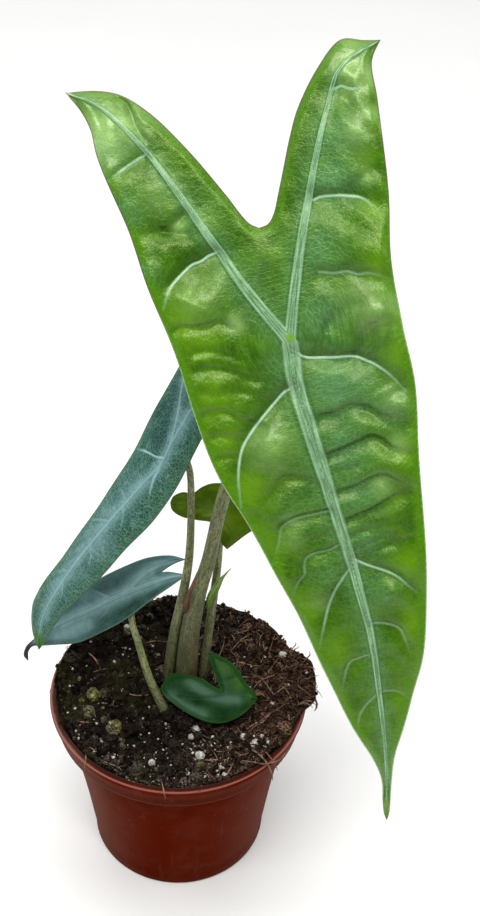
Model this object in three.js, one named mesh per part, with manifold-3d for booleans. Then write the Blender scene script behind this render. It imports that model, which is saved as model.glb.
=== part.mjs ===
// A young alocasia with arrow-shaped leaves in a small nursery pot, filled with potting mix.
// Millimetres, +Z up, origin at the middle of the pot's flat base. The plant's front is -Y.

import * as THREE from "three";
import { mergeVertices } from "three/addons/utils/BufferGeometryUtils.js";
import Module from "manifold-3d";

const wasm = await Module();
wasm.setup();

// Driving dimensions

const touch = 0.3; // the gap between pieces that touch
const roundShare = 0.3; // of a rounded corner's radius, where its middle point lies

const pot = {
  height: 47,
  rimRadius: 30,
  lipRound: 0.8,
  collarFoot: 43, // where the collar ends and the body starts
  collarSlope: 0.4, // fall of the step under the collar
  collarRadius: 29.2,
  shoulderRadius: 26.8,
  baseRadius: 21,
  baseRound: 0.8,
  wall: 1.1,
  floor: 1.4,
  sides: 48,
  drain: { count: 6, radius: 2.2, circle: 15, sides: 10 },
};

const soil = {
  level: 45.7, // height at the pot's axis, without the mound
  rise: 0.035, // climb per mm towards the back
  mound: { x: 2, y: 2, height: 2.3, spread: 12.6 },
  lump: { size: 4.5, height: 0.45 },
  clear: 0.4, // from the pot's wall
  crust: 1.2, // depth of the crumbly edge under the top
  sectors: 40,
  rings: 8,
  // Where the mix climbs to a spill: mm off the pot's axis, and degrees before the spill's end.
  climb: { fromRadius: 12, overRadius: 14, before: 40, over: 32 },
  spillRamp: 18, // degrees in which a spill reaches its full width
  // Where the mix lies over the rim: middle and half width in degrees, reach past the wall.
  spills: [
    { middle: 6, half: 26, reach: 4.6, heap: 2.6 },
    { middle: 130, half: 62, reach: 1.9, heap: 1.1 },
  ],
};

const bladeThickness = 0.8;
const flatEnough = 1e-5; // double area below which a drawn triangle is left out
const betweenLobes = 0.3; // share of the ridges' height on the inner side of a lobe

// Each leaf is drawn flat, in mm: [side, along], with the stem's joint at 0, 0, the tip at
// +along and the left half, seen from the front, at +side. place sets it in the plant.
const leaves = [
  {
    name: "greenLeafBlade",
    colour: 0x5a9618,
    rough: 0.38,
    place: { joint: [21.5, -0.9, 148.2], toTip: [0.22, -0.5, -0.84], face: [-0.1, -0.87, 0.49] },
    bend: 0.0035,
    fold: 0.08,
    foldSoft: 3,
    tip: [0.5, 109.5],
    leftLobe: [33.5, -53.7],
    rightLobe: [-26.6, -51.3],
    sinus: [2.1, -21.9],
    outerLeft: [
      [-0.7, 97.5], [0.6, 92], [4.4, 78], [7.6, 61.5], [11.5, 45.5], [15.3, 33], [19.5, 19.5],
      [21.7, 0.5], [24.6, -15], [26.3, -26], [29.6, -41], [30, -46], [31.3, -50],
    ],
    innerLeft: [[7, -29.5], [12.3, -38.6], [18.2, -46.8], [23.1, -51.2], [27.6, -52.9]],
    innerRight: [
      [-0.8, -24.2], [-2.8, -27.6], [-6.9, -37.4], [-9.4, -42.5], [-14, -48.6], [-19.4, -53], [-23.5, -52],
    ],
    outerRight: [
      [-2.5, 97], [-4.6, 91], [-10.1, 78], [-14.3, 67], [-18, 48], [-20.3, 26], [-22, 12], [-21.6, 0.6],
      [-21.6, -11.5], [-23.3, -24], [-24.2, -41], [-24.4, -48],
    ],
    mainRib: [[0.4, 9], [-0.6, 17], [-2.3, 33.5], [-3.6, 46.5], [-4.5, 60.5], [-3.8, 75], [-2.3, 91.5]],
    leftRib: [[6.1, -10.8], [12.1, -23.6], [19.8, -39.3], [27.2, -49.4]],
    rightRib: [[-3.2, -10.6], [-7.4, -22.9], [-14.2, -39.9], [-18.4, -47.6]],
    ribHalf: 1.5,
    ribRise: 0.3,
    ribKeel: 0.7,
    quilt: { pitch: 7, depth: 0.34, sweep: 1.3 },
    wave: { pitch: 21, depth: 0.5 },
    rows: { tip: 40, lobe: 22 },
    columns: { outer: 6, inner: 4 },
  },
  {
    name: "silverLeafBlade",
    colour: 0x5f8f8c,
    rough: 0.55,
    place: { joint: [-1.7, 5.5, 116.2], toTip: [-0.515, -0.192, -0.836], face: [-0.436, -0.78, 0.448] },
    bend: 0.004,
    fold: -0.35,
    foldSoft: 2,
    tip: [1.1, 65.3],
    leftLobe: [10.4, -25],
    rightLobe: [-2.6, -22.5],
    sinus: [4.2, -13.5],
    outerLeft: [
      [5, 63.7], [8.7, 59], [9.2, 54], [7.9, 40.5], [6.7, 22.5], [6.8, 7.5], [8.4, -4], [9.3, -13],
    ],
    innerLeft: [[6.4, -17.5], [8.4, -21.5]],
    innerRight: [[2.4, -17], [0.2, -20.2]],
    outerRight: [
      [0.6, 61], [0.5, 53], [-1.4, 44], [-3.1, 35], [-4.2, 26], [-5.7, 16.5], [-5.8, 8.5], [-5.2, 1.5],
      [-4, -8],
    ],
    mainRib: [[-0.5, 4], [0.3, 11], [2.2, 25], [3.7, 37], [4.5, 49], [4.1, 57]],
    leftRib: [[2.3, -5.9], [5.4, -10.8], [8.3, -18]],
    rightRib: [[0.4, -5.3], [0.6, -10], [-0.7, -16]],
    ribHalf: 0.9,
    ribRise: 0.2,
    ribKeel: 0.5,
    quilt: { pitch: 6.5, depth: 0.14, sweep: 1.2 },
    wave: { pitch: 16, depth: 0.15 },
    rows: { tip: 24, lobe: 9 },
    columns: { outer: 4, inner: 2 },
  },
  {
    name: "lowLeafBlade",
    colour: 0x557f80,
    rough: 0.6,
    place: { joint: [-12.1, 8.5, 69.9], toTip: [-0.699, -0.19, -0.689], face: [-0.476, -0.595, 0.647] },
    bend: 0.006,
    fold: -0.08,
    foldSoft: 2,
    tip: [5.2, 33.6],
    leftLobe: [-2.9, -16.4],
    rightLobe: [-5.9, -14.6],
    sinus: [-1.5, -9.8],
    outerLeft: [
      [6.9, 34], [8.1, 32.2], [8.1, 28.6], [8.4, 24], [8.7, 18.4], [8.2, 9.5], [7.2, 3], [5.2, -3.8],
      [3.2, -9.2], [0.2, -13.8],
    ],
    innerLeft: [[-1.7, -12.4], [-2.2, -14.6]],
    innerRight: [[-2.6, -11.4], [-4.2, -13]],
    outerRight: [
      [6.1, 32.9], [6.5, 31.6], [6.2, 29.8], [4.7, 27.1], [2.1, 23], [-0.7, 18.5], [-2.1, 14.5],
      [-3.9, 7.8], [-4.8, 1.7], [-5.3, -7.3],
    ],
    mainRib: [[1.5, 4.8], [2.6, 9.6], [4.3, 15], [5.7, 19.7], [6.7, 25], [7.2, 30], [7.1, 32.2]],
    leftRib: [[0.4, -3.5], [0.2, -8], [-0.9, -12]],
    rightRib: [[-1.1, -3.2], [-2.5, -6.9], [-4, -11]],
    ribHalf: 0.7,
    ribRise: 0.15,
    ribKeel: 0.4,
    quilt: { pitch: 5.5, depth: 0.1, sweep: 1 },
    wave: { pitch: 12, depth: 0.15 },
    rows: { tip: 20, lobe: 7 },
    columns: { outer: 4, inner: 2 },
  },
  {
    name: "backLeafBlade",
    colour: 0x6f8f1c,
    rough: 0.5,
    place: { joint: [8, 10.5, 94.9], toTip: [-0.997, 0, 0.073], face: [0.039, -0.849, 0.527] },
    bend: 0.012,
    fold: 0.15,
    foldSoft: 1,
    tip: [0.2, 10.3],
    leftLobe: [5, -10],
    rightLobe: [-8.6, -4.2],
    sinus: [-1.2, -3.4],
    outerLeft: [[1.6, 9.8], [2.8, 7.8], [2.8, 5.6], [4.4, 3.7], [5.4, 1.6], [5.6, -4.5]],
    innerLeft: [[1.6, -7.2], [3.6, -9.4]],
    innerRight: [[-3.6, -6], [-6.3, -6.2]],
    outerRight: [[-1.3, 9.8], [-2.6, 7.6], [-3, 4], [-3.4, 0.8], [-5.6, -1.2], [-8, -2.4]],
    mainRib: [[0.1, 3.5], [0.3, 7]],
    leftRib: [[1.6, -3.4], [3.4, -7]],
    rightRib: [[-2.4, -1.9], [-5.6, -3.6]],
    ribHalf: 0.5,
    ribRise: 0.1,
    ribKeel: 0.3,
    quilt: { pitch: 4, depth: 0.08, sweep: 1 },
    wave: { pitch: 7, depth: 0.15 },
    rows: { tip: 7, lobe: 6 },
    columns: { outer: 3, inner: 2 },
  },
  {
    name: "groundLeafBlade",
    colour: 0x1f4a24,
    rough: 0.3,
    place: { joint: [11.1, -4.8, 51.5], toTip: [0.981, -0.17, -0.09], face: [0.002, -0.459, 0.888] },
    bend: 0.012,
    fold: 0.12,
    foldSoft: 1,
    tip: [-0.6, 7.3],
    leftLobe: [1.9, -15.1],
    rightLobe: [-8.2, -6],
    sinus: [-0.7, -1.5],
    outerLeft: [[1.6, 6.3], [4, 4.7], [6.7, 1.4], [7.6, -2], [6.9, -6.2], [4.8, -11.4], [3.4, -13.8]],
    innerLeft: [[-1.2, -3.4], [-2.2, -6], [-2.4, -9.8], [-2.3, -12.6], [-0.6, -14.4]],
    innerRight: [[-2.2, -2.4], [-4.3, -3.9], [-6.6, -5.3]],
    outerRight: [[-1.6, 6.6], [-3.5, 3.9], [-6.3, 1.2], [-7.9, -2.2], [-8.4, -4.8]],
    mainRib: [[-0.1, 2.4], [-0.4, 4.9]],
    leftRib: [[1.2, -3.6], [2.3, -7.4], [2.3, -11.6]],
    rightRib: [[-2.4, -0.9], [-5, -2.8]],
    ribHalf: 0.5,
    ribRise: 0.1,
    ribKeel: 0.2,
    quilt: { pitch: 5, depth: 0.1, sweep: 1 },
    wave: { pitch: 8, depth: 0.25 },
    rows: { tip: 6, lobe: 9 },
    columns: { outer: 3, inner: 2 },
  },
];

const stemSides = 8;
const squareEnd = 1.6; // length of a stem's end square to its blade, over its radius

// Stems, from their buried foot to their joint under a blade. radii run evenly from foot to top,
// and flat is the section's height over its width. A stem with a leaf ends just behind it.
const stems = [
  {
    name: "greenLeafStem",
    leaf: "greenLeafBlade",
    colour: 0x9a9464,
    route: [
      [1.3, 2, 39.5], [1.6, 2, 50], [2.5, 3, 63.7], [4, 3.2, 74.2], [6.5, 3, 86.3],
      [9.1, 1.8, 103.5], [14.6, 2.4, 127], [20, 3.4, 143.5],
    ],
    radii: [2.5, 2.45, 2.1, 1.6, 1.45, 1.4, 1.35, 1.3, 1.2],
    steps: 22,
  },
  {
    name: "silverLeafStem",
    leaf: "silverLeafBlade",
    colour: 0x94936a,
    route: [
      [-2.8, 3.1, 39.5], [-2.4, 3.2, 50], [-1.1, 4, 62], [0.7, 5, 73], [2.1, 5.2, 84.6],
      [2.5, 5.6, 100], [1.9, 6.6, 110],
    ],
    radii: [1.3, 1.3, 1.2, 1, 0.85, 0.75, 0.7],
    steps: 18,
  },
  {
    name: "lowLeafStem",
    leaf: "lowLeafBlade",
    colour: 0x9a9870,
    route: [
      [-2, -6.6, 40], [-2.9, -6.2, 46.6], [-4.6, -4.6, 49.8], [-6.7, -2.9, 54.5],
      [-9.2, 1.4, 60.6], [-11, 5.4, 64.6],
    ],
    radii: [1.15, 1.1, 0.95, 0.85, 0.75, 0.7],
    steps: 14,
  },
  {
    name: "backLeafStem",
    leaf: "backLeafBlade",
    colour: 0x96956c,
    route: [
      [5.4, 3.6, 40], [5.6, 3.8, 48], [6.9, 6.5, 63.2], [7.6, 7.9, 70], [8.6, 10, 82],
      [8.7, 11.8, 90.5],
    ],
    radii: [1.1, 1.1, 1, 0.95, 0.8, 0.65],
    steps: 14,
  },
  {
    name: "groundLeafStem",
    leaf: "groundLeafBlade",
    colour: 0xa8a47c,
    route: [[7.4, -0.6, 42], [7.7, -0.9, 48], [9, -2.2, 49.6]],
    radii: [0.55, 0.55, 0.5],
    steps: 7,
  },
  {
    name: "newShoot",
    colour: 0x86a44a,
    route: [
      [6.6, 3.6, 70.6], [6.9, 3.6, 73.7], [8.1, 3.3, 77.2], [9.4, 3.2, 80.4], [11.4, 3.3, 83.6],
    ],
    radii: [0.5, 0.8, 0.95, 0.75, 0.3],
    flat: 0.7,
    steps: 10,
  },
  {
    name: "dryBract",
    colour: 0x6e4a36,
    route: [[1.4, 2, 70.6], [1.9, 1.2, 75.5], [3, 0.9, 80], [4.2, 1, 84.6]],
    radii: [0.35, 0.6, 0.5, 0.3],
    flat: 0.6,
    steps: 7,
  },
];

// Loose grains big enough to handle: white perlite and pellets gone green with algae. Their
// middles stand above the mix by a share of their radius.
const grainRise = 0.35;
const grainKnob = 0.12;
const grains = [
  { name: "perliteFront", at: [11.7, -24], radius: 1.15, colour: 0xe8e6e0 },
  { name: "perliteMiddle", at: [11, -20.8], radius: 1, colour: 0xe2e0d8 },
  { name: "perliteLeft", at: [-5, -20.6], radius: 0.9, colour: 0xe4e2da },
  { name: "perliteRight", at: [24.3, 9.6], radius: 1.1, colour: 0xe8e6e0 },
  { name: "pelletFront", at: [-14.2, -11.5], radius: 2, colour: 0x8b8b34 },
  { name: "pelletMiddle", at: [-20.3, -7.4], radius: 1.6, colour: 0x6c6a34 },
  { name: "pelletBack", at: [-19.8, -2.2], radius: 1.8, colour: 0x5e5434 },
  { name: "pelletRim", at: [-23, 1.6], radius: 1.5, colour: 0x77784c },
];

// Small helpers

const lerp = (a, b, t) => a + (b - a) * t;
const bell = (x) => Math.exp(-x * x);

function smooth(t) {
  const x = Math.min(1, Math.max(0, t));
  return x * x * (3 - 2 * x);
}

// A repeatable number from 0 to 1 for a cell of a grid.
function chance(i, j) {
  const x = Math.sin(i * 127.1 + j * 311.7) * 43758.5453;
  return x - Math.floor(x);
}

// Smooth noise from -1 to 1 over the plane.
function noise(x, y) {
  const i = Math.floor(x);
  const j = Math.floor(y);
  const u = smooth(x - i);
  const v = smooth(y - j);
  const near = lerp(chance(i, j), chance(i + 1, j), u);
  const far = lerp(chance(i, j + 1), chance(i + 1, j + 1), u);
  return 2 * lerp(near, far, v) - 1;
}

function geometryOf(points, faces) {
  const geometry = new THREE.BufferGeometry();
  geometry.setAttribute("position", new THREE.Float32BufferAttribute(points.flat(), 3));
  geometry.setIndex(faces.flat());
  return geometry;
}

function solidOf(geometry) {
  const bare = geometry.clone();
  bare.deleteAttribute("normal");
  bare.deleteAttribute("uv");
  const merged = mergeVertices(bare, 1e-4);
  const mesh = new wasm.Mesh({
    numProp: 3,
    vertProperties: merged.attributes.position.array,
    triVerts: new Uint32Array(merged.index.array),
  });
  return new wasm.Manifold(mesh);
}

function geometryFrom(solid) {
  const mesh = solid.getMesh();
  const geometry = new THREE.BufferGeometry();
  geometry.setAttribute("position", new THREE.BufferAttribute(mesh.vertProperties, 3));
  geometry.setIndex(new THREE.BufferAttribute(mesh.triVerts, 1));
  return geometry;
}

function finish(name, geometry, colour, roughness) {
  const material = new THREE.MeshStandardMaterial({ color: colour, roughness, metalness: 0 });
  const shaded = geometry.toNonIndexed();
  shaded.computeVertexNormals();
  const mesh = new THREE.Mesh(shaded, material);
  mesh.name = name;
  return mesh;
}

// The pot: a turned shell with a stepped collar and drain holes round its floor

function potShell() {
  const { height, wall, lipRound, baseRound } = pot;
  const outside = [
    [0, 0],
    [pot.baseRadius - baseRound, 0],
    [pot.baseRadius - baseRound * roundShare, baseRound * roundShare],
    [pot.baseRadius, baseRound],
    [pot.shoulderRadius, pot.collarFoot - pot.collarSlope],
    [pot.collarRadius, pot.collarFoot],
    [pot.rimRadius, height - lipRound],
    [pot.rimRadius - lipRound * roundShare, height - lipRound * roundShare],
    [pot.rimRadius - lipRound, height],
  ];
  const inside = [
    [pot.collarRadius - wall + lipRound * roundShare, height - lipRound * roundShare],
    [pot.collarRadius - wall, height - 2 * lipRound],
    [pot.collarRadius - wall, pot.collarFoot],
    [pot.shoulderRadius - wall, pot.collarFoot - 2 * pot.collarSlope],
    [pot.baseRadius - wall, pot.floor + baseRound],
    [pot.baseRadius - wall - baseRound, pot.floor],
    [0, pot.floor],
  ];
  const profile = [...outside, ...inside].map(([r, z]) => new THREE.Vector2(r, z));
  return new THREE.LatheGeometry(profile, pot.sides).rotateX(Math.PI / 2);
}

function makePot() {
  let shell = solidOf(potShell());
  const { count, radius, circle, sides } = pot.drain;
  for (let i = 0; i < count; i += 1) {
    const turn = (i / count) * 2 * Math.PI;
    const hole = new THREE.CylinderGeometry(radius, radius, 3 * pot.floor, sides).rotateX(Math.PI / 2);
    hole.translate(circle * Math.cos(turn), circle * Math.sin(turn), pot.floor / 2);
    shell = shell.subtract(solidOf(hole));
  }
  return finish("pot", geometryFrom(shell), 0x8a3a28, 0.42);
}

// The potting mix

// Degrees by which an angle lies inside a spill, below 0 outside it.
function insideSpill(spill, degrees) {
  return spill.half - Math.abs(((degrees - spill.middle + 540) % 360) - 180);
}

function spillReach(degrees) {
  const reachOf = (spill) => spill.reach * smooth(insideSpill(spill, degrees) / soil.spillRamp);
  return Math.max(...soil.spills.map(reachOf));
}

// From 0 to 1: the mix has climbed to the rim before it spills over.
function spillHeap(spill, degrees) {
  return smooth((insideSpill(spill, degrees) + soil.climb.before) / soil.climb.over);
}

function soilTop(x, y) {
  const { mound, lump, level, rise, climb } = soil;
  const radius = Math.hypot(x, y);
  const degrees = (Math.atan2(y, x) * 180) / Math.PI;
  let top = level + rise * y;
  top += mound.height * bell(Math.hypot(x - mound.x, y - mound.y) / mound.spread);
  top += lump.height * noise(x / lump.size, y / lump.size);
  for (const spill of soil.spills) {
    const outwards = smooth((radius - climb.fromRadius) / climb.overRadius);
    top += spill.heap * spillHeap(spill, degrees) * outwards;
  }
  return top;
}

function soilBody() {
  const { sectors, rings, clear, crust } = soil;
  const inner = pot.wall + clear;
  const wallRadius = pot.collarRadius - inner;
  const bottom = pot.floor + touch;
  const points = [];
  const faces = [];
  // For each sector, the outline from the bottom, up the wall, over the rim and back to the middle.
  for (let i = 0; i < sectors; i += 1) {
    const turn = (i / sectors) * 2 * Math.PI;
    const degrees = (turn * 180) / Math.PI;
    const reach = spillReach(degrees);
    const spilling = Math.max(...soil.spills.map((spill) => spillHeap(spill, degrees)));
    const cos = Math.cos(turn);
    const sin = Math.sin(turn);
    const put = (r, z) => points.push([r * cos, r * sin, z]);
    const edge = wallRadius + reach;
    const topAt = (r) => soilTop(r * cos, r * sin);
    const overRim = pot.height + touch;
    const lip = lerp(topAt(edge) - crust, overRim, spilling);
    put(pot.baseRadius - inner - pot.baseRound, bottom);
    put(pot.baseRadius - inner, bottom + pot.baseRound + touch);
    put(pot.shoulderRadius - inner, pot.collarFoot - pot.collarSlope);
    put(wallRadius, pot.collarFoot + clear);
    put(wallRadius, Math.min(lip, overRim - crust) - touch);
    put(wallRadius, lip);
    put(edge, lip + touch);
    put(edge - touch, Math.max(topAt(edge), lip + 2 * touch));
    for (let ring = 1; ring < rings; ring += 1) {
      const r = edge * (1 - ring / rings);
      put(r, topAt(r));
    }
  }
  const stride = points.length / sectors;
  for (let i = 0; i < sectors; i += 1) {
    const here = i * stride;
    const next = ((i + 1) % sectors) * stride;
    for (let k = 0; k < stride - 1; k += 1) {
      faces.push([here + k, next + k, next + k + 1], [here + k, next + k + 1, here + k + 1]);
    }
  }
  const under = points.push([0, 0, bottom]) - 1;
  const over = points.push([0, 0, soilTop(0, 0)]) - 1;
  for (let i = 0; i < sectors; i += 1) {
    const here = i * stride;
    const next = ((i + 1) % sectors) * stride;
    faces.push([under, next, here], [over, here + stride - 1, next + stride - 1]);
  }
  return geometryOf(points, faces);
}

// Stems and other slender pieces: rings along a curve

function sweep(route, radii, { steps, sides = stemSides, flat = 1, grow = 0 }) {
  const curve = new THREE.CatmullRomCurve3(route.map((p) => new THREE.Vector3(...p)));
  const frames = curve.computeFrenetFrames(steps, false);
  const points = [];
  const faces = [];
  for (let i = 0; i <= steps; i += 1) {
    const share = i / steps;
    const centre = curve.getPointAt(share);
    const spot = share * (radii.length - 1);
    const k = Math.min(Math.floor(spot), radii.length - 2);
    const radius = lerp(radii[k], radii[k + 1], spot - k) + grow;
    for (let j = 0; j < sides; j += 1) {
      const turn = (j / sides) * 2 * Math.PI;
      const point = centre.clone();
      point.addScaledVector(frames.normals[i], radius * Math.cos(turn));
      point.addScaledVector(frames.binormals[i], radius * flat * Math.sin(turn));
      points.push(point.toArray());
    }
  }
  for (let i = 0; i < steps; i += 1) {
    for (let j = 0; j < sides; j += 1) {
      const a = i * sides + j;
      const b = i * sides + ((j + 1) % sides);
      faces.push([a, b, b + sides], [a, b + sides, a + sides]);
    }
  }
  const foot = points.push(curve.getPointAt(0).toArray()) - 1;
  const head = points.push(curve.getPointAt(1).toArray()) - 1;
  for (let j = 0; j < sides; j += 1) {
    const next = (j + 1) % sides;
    faces.push([foot, next, j], [head, steps * sides + j, steps * sides + next]);
  }
  return geometryOf(points, faces);
}

// The stem's route, bent in to meet its leaf square, just behind the joint.
function routeOf(stem) {
  const leaf = leaves.find(({ name }) => name === stem.leaf);
  if (!leaf) return stem.route;
  const frame = frameOf(leaf);
  const end = -(bladeThickness / 2 + leaf.ribKeel + touch);
  const behind = [end - squareEnd * stem.radii.at(-1), end];
  return [...stem.route, ...behind.map((depth) => lift(leaf, frame, 0, 0, depth).toArray())];
}

// Blades

function frameOf(leaf) {
  const along = new THREE.Vector3(...leaf.place.toTip).normalize();
  const face = new THREE.Vector3(...leaf.place.face);
  face.addScaledVector(along, -face.dot(along)).normalize();
  const side = new THREE.Vector3().crossVectors(along, face);
  return { along, face, side, joint: new THREE.Vector3(...leaf.place.joint) };
}

// The point of the plant for a point of the flat drawing, lifted off its face by height. The
// blade bends back evenly along its length and its halves fold about the middle line.
function lift(leaf, frame, side, along, height) {
  const turn = leaf.bend * along;
  const folded = leaf.fold * (Math.hypot(side, leaf.foldSoft) - leaf.foldSoft) + height;
  const forward = Math.sin(turn) / leaf.bend + Math.sin(turn) * folded;
  const out = (Math.cos(turn) - 1) / leaf.bend + Math.cos(turn) * folded;
  const point = frame.joint.clone();
  point.addScaledVector(frame.along, forward);
  point.addScaledVector(frame.face, out);
  return point.addScaledVector(frame.side, side);
}

// Points at even steps along a smooth line through flat points.
function line(flat, steps) {
  const points = flat.map(([s, a]) => new THREE.Vector3(s, a, 0));
  const curve = new THREE.CatmullRomCurve3(points, false, "centripetal");
  curve.arcLengthDivisions = 3 * steps + 100;
  return curve.getSpacedPoints(steps).map(({ x, y }) => [x, y]);
}

function lengthOf(points) {
  const steps = points.slice(1).map(([s, a], i) => Math.hypot(s - points[i][0], a - points[i][1]));
  return steps.reduce((sum, step) => sum + step, 0);
}

// A line sampled with extra rows on each side of one of its shares, to face a two-part rib.
function lineInTwo(flat, share, firstSteps, secondSteps) {
  const fineSteps = 400;
  const fine = line(flat, fineSteps);
  const at = (t) => fine[Math.round(t * fineSteps)];
  const points = [];
  for (let i = 0; i <= firstSteps; i += 1) points.push(at((share * i) / firstSteps));
  for (let i = 1; i <= secondSteps; i += 1) points.push(at(share + ((1 - share) * i) / secondSteps));
  return points;
}

// The blade drawn flat: points as { side, along, reach, run, relief } and its triangles. reach goes
// from 0 at a rib to 1 at the margin, run is the length passed along the rib, and relief scales
// the ridges, which are weaker between the lobes.
function flatBlade(leaf) {
  const joint = [0, 0];
  const { rows, columns, tip, leftLobe, rightLobe, sinus } = leaf;
  const spots = [];
  const known = new Map();
  const faces = [];
  const spotAt = (side, along, reach, run, relief) => {
    const key = `${side.toFixed(3)},${along.toFixed(3)}`;
    if (!known.has(key)) known.set(key, spots.push({ side, along, reach, run, relief }) - 1);
    return known.get(key);
  };
  const triangle = (a, b, c) => {
    const [p, q, r] = [spots[a], spots[b], spots[c]];
    const twice = (q.side - p.side) * (r.along - p.along) - (r.side - p.side) * (q.along - p.along);
    if (Math.abs(twice) > flatEnough) faces.push(twice > 0 ? [a, b, c] : [a, c, b]);
  };
  const patch = (rib, margin, across, step, relief) => {
    const grid = rib.map(([s, a], i) => {
      const [ms, ma] = margin[i];
      return Array.from({ length: across + 1 }, (_, j) => {
        const reach = j / across;
        return spotAt(lerp(s, ms, reach), lerp(a, ma, reach), reach, i * step, relief);
      });
    });
    for (let i = 0; i < rib.length - 1; i += 1) {
      for (let j = 0; j < across; j += 1) {
        triangle(grid[i][j], grid[i + 1][j], grid[i + 1][j + 1]);
        triangle(grid[i][j], grid[i + 1][j + 1], grid[i][j + 1]);
      }
    }
  };
  const mainRib = line([joint, ...leaf.mainRib, tip], rows.tip).reverse();
  const halves = [
    { lobe: leftLobe, rib: leaf.leftRib, outer: leaf.outerLeft, inner: leaf.innerLeft },
    { lobe: rightLobe, rib: leaf.rightRib, outer: leaf.outerRight, inner: leaf.innerRight },
  ];
  for (const { lobe, rib, outer, inner } of halves) {
    const lobeRib = line([joint, ...rib, lobe], rows.lobe);
    const share = lengthOf(mainRib) / (lengthOf(mainRib) + lengthOf(lobeRib));
    const margin = lineInTwo([tip, ...outer, lobe], share, rows.tip, rows.lobe);
    const step = lengthOf(mainRib) / rows.tip;
    patch([...mainRib, ...lobeRib.slice(1)], margin, columns.outer, step, 1);
    patch(lobeRib, line([sinus, ...inner, lobe], rows.lobe), columns.inner, step, betweenLobes);
  }
  return { spots, faces };
}

// How near a flat point lies to the leaf's three ribs, in mm.
function ribDistance(leaf) {
  const ribs = [
    [[0, 0], ...leaf.mainRib, leaf.tip],
    [[0, 0], ...leaf.leftRib, leaf.leftLobe],
    [[0, 0], ...leaf.rightRib, leaf.rightLobe],
  ].flatMap((flat) => line(flat, 120));
  return ({ side, along }) => Math.min(...ribs.map(([s, a]) => Math.hypot(s - side, a - along)));
}

function makeBlade(leaf) {
  const { spots, faces } = flatBlade(leaf);
  const frame = frameOf(leaf);
  const distance = ribDistance(leaf);
  const { quilt, wave } = leaf;
  const reliefAt = (spot) => {
    const ridge = Math.sin(2 * Math.PI * (spot.run / quilt.pitch + quilt.sweep * spot.reach));
    const ripple = Math.sin((2 * Math.PI * spot.run) / wave.pitch) * spot.reach ** 3;
    const ends = smooth(spot.run / (2 * quilt.pitch));
    return spot.relief * (quilt.depth * ridge * Math.sin(Math.PI * spot.reach) + wave.depth * ripple * ends);
  };
  const tops = [];
  const unders = [];
  for (const spot of spots) {
    const rib = bell(distance(spot) / leaf.ribHalf);
    const middle = reliefAt(spot);
    const half = bladeThickness / 2;
    const at = (height) => lift(leaf, frame, spot.side, spot.along, middle + height).toArray();
    tops.push(at(half + leaf.ribRise * rib));
    unders.push(at(-half - leaf.ribKeel * rib));
  }
  const count = spots.length;
  const open = new Map();
  const solid = [];
  for (const [a, b, c] of faces) {
    solid.push([a, b, c], [a + count, c + count, b + count]);
    for (const [from, to] of [[a, b], [b, c], [c, a]]) {
      if (!open.delete(`${to},${from}`)) open.set(`${from},${to}`, [from, to]);
    }
  }
  for (const [from, to] of open.values()) {
    solid.push([to, from, from + count], [to, from + count, to + count]);
  }
  return finish(leaf.name, geometryOf([...tops, ...unders], solid), leaf.colour, leaf.rough);
}

// Loose grains, a third sunk in pits of the mix

function grainShape({ at: [x, y], radius }, grow) {
  const ball = new THREE.IcosahedronGeometry(1, 1);
  const shape = mergeVertices(ball.deleteAttribute("uv").deleteAttribute("normal"));
  const position = shape.attributes.position;
  for (let i = 0; i < position.count; i += 1) {
    const corner = new THREE.Vector3().fromBufferAttribute(position, i);
    const knobbly = 1 + grainKnob * noise(3 * corner.x + x, 3 * corner.y + 5 * corner.z);
    corner.multiplyScalar(radius * knobbly + grow);
    position.setXYZ(i, ...corner.toArray());
  }
  return shape.translate(x, y, soilTop(x, y) + grainRise * radius);
}

function makeSoil() {
  let body = solidOf(soilBody());
  for (const stem of stems) {
    const [footX, footY, footZ] = stem.route[0];
    if (footZ > soilTop(footX, footY)) continue;
    const hole = sweep(routeOf(stem), stem.radii, { steps: stem.steps, flat: stem.flat, grow: touch });
    const width = stem.radii[0] + touch;
    const well = new THREE.CylinderGeometry(width, width, 2 * touch, stemSides).rotateX(Math.PI / 2);
    body = body.subtract(solidOf(hole));
    body = body.subtract(solidOf(well.translate(footX, footY, footZ)));
  }
  for (const grain of grains) body = body.subtract(solidOf(grainShape(grain, touch)));
  return finish("soil", geometryFrom(body), 0x3a2a20, 0.95);
}

const group = new THREE.Group();
group.add(makePot(), makeSoil());
for (const leaf of leaves) group.add(makeBlade(leaf));
for (const stem of stems) {
  const shape = sweep(routeOf(stem), stem.radii, { steps: stem.steps, flat: stem.flat });
  group.add(finish(stem.name, shape, stem.colour, 0.55));
}
for (const grain of grains) group.add(finish(grain.name, grainShape(grain, 0), grain.colour, 0.85));

export default group;
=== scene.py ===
# A young potted alocasia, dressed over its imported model.
# Everything is in metres, +Z up, and the front of the plant is -Y. Dictionaries are in millimetres.
import math
import bmesh
import bpy
import numpy as np
from mathutils import Matrix, Vector
from mathutils.kdtree import KDTree


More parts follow.
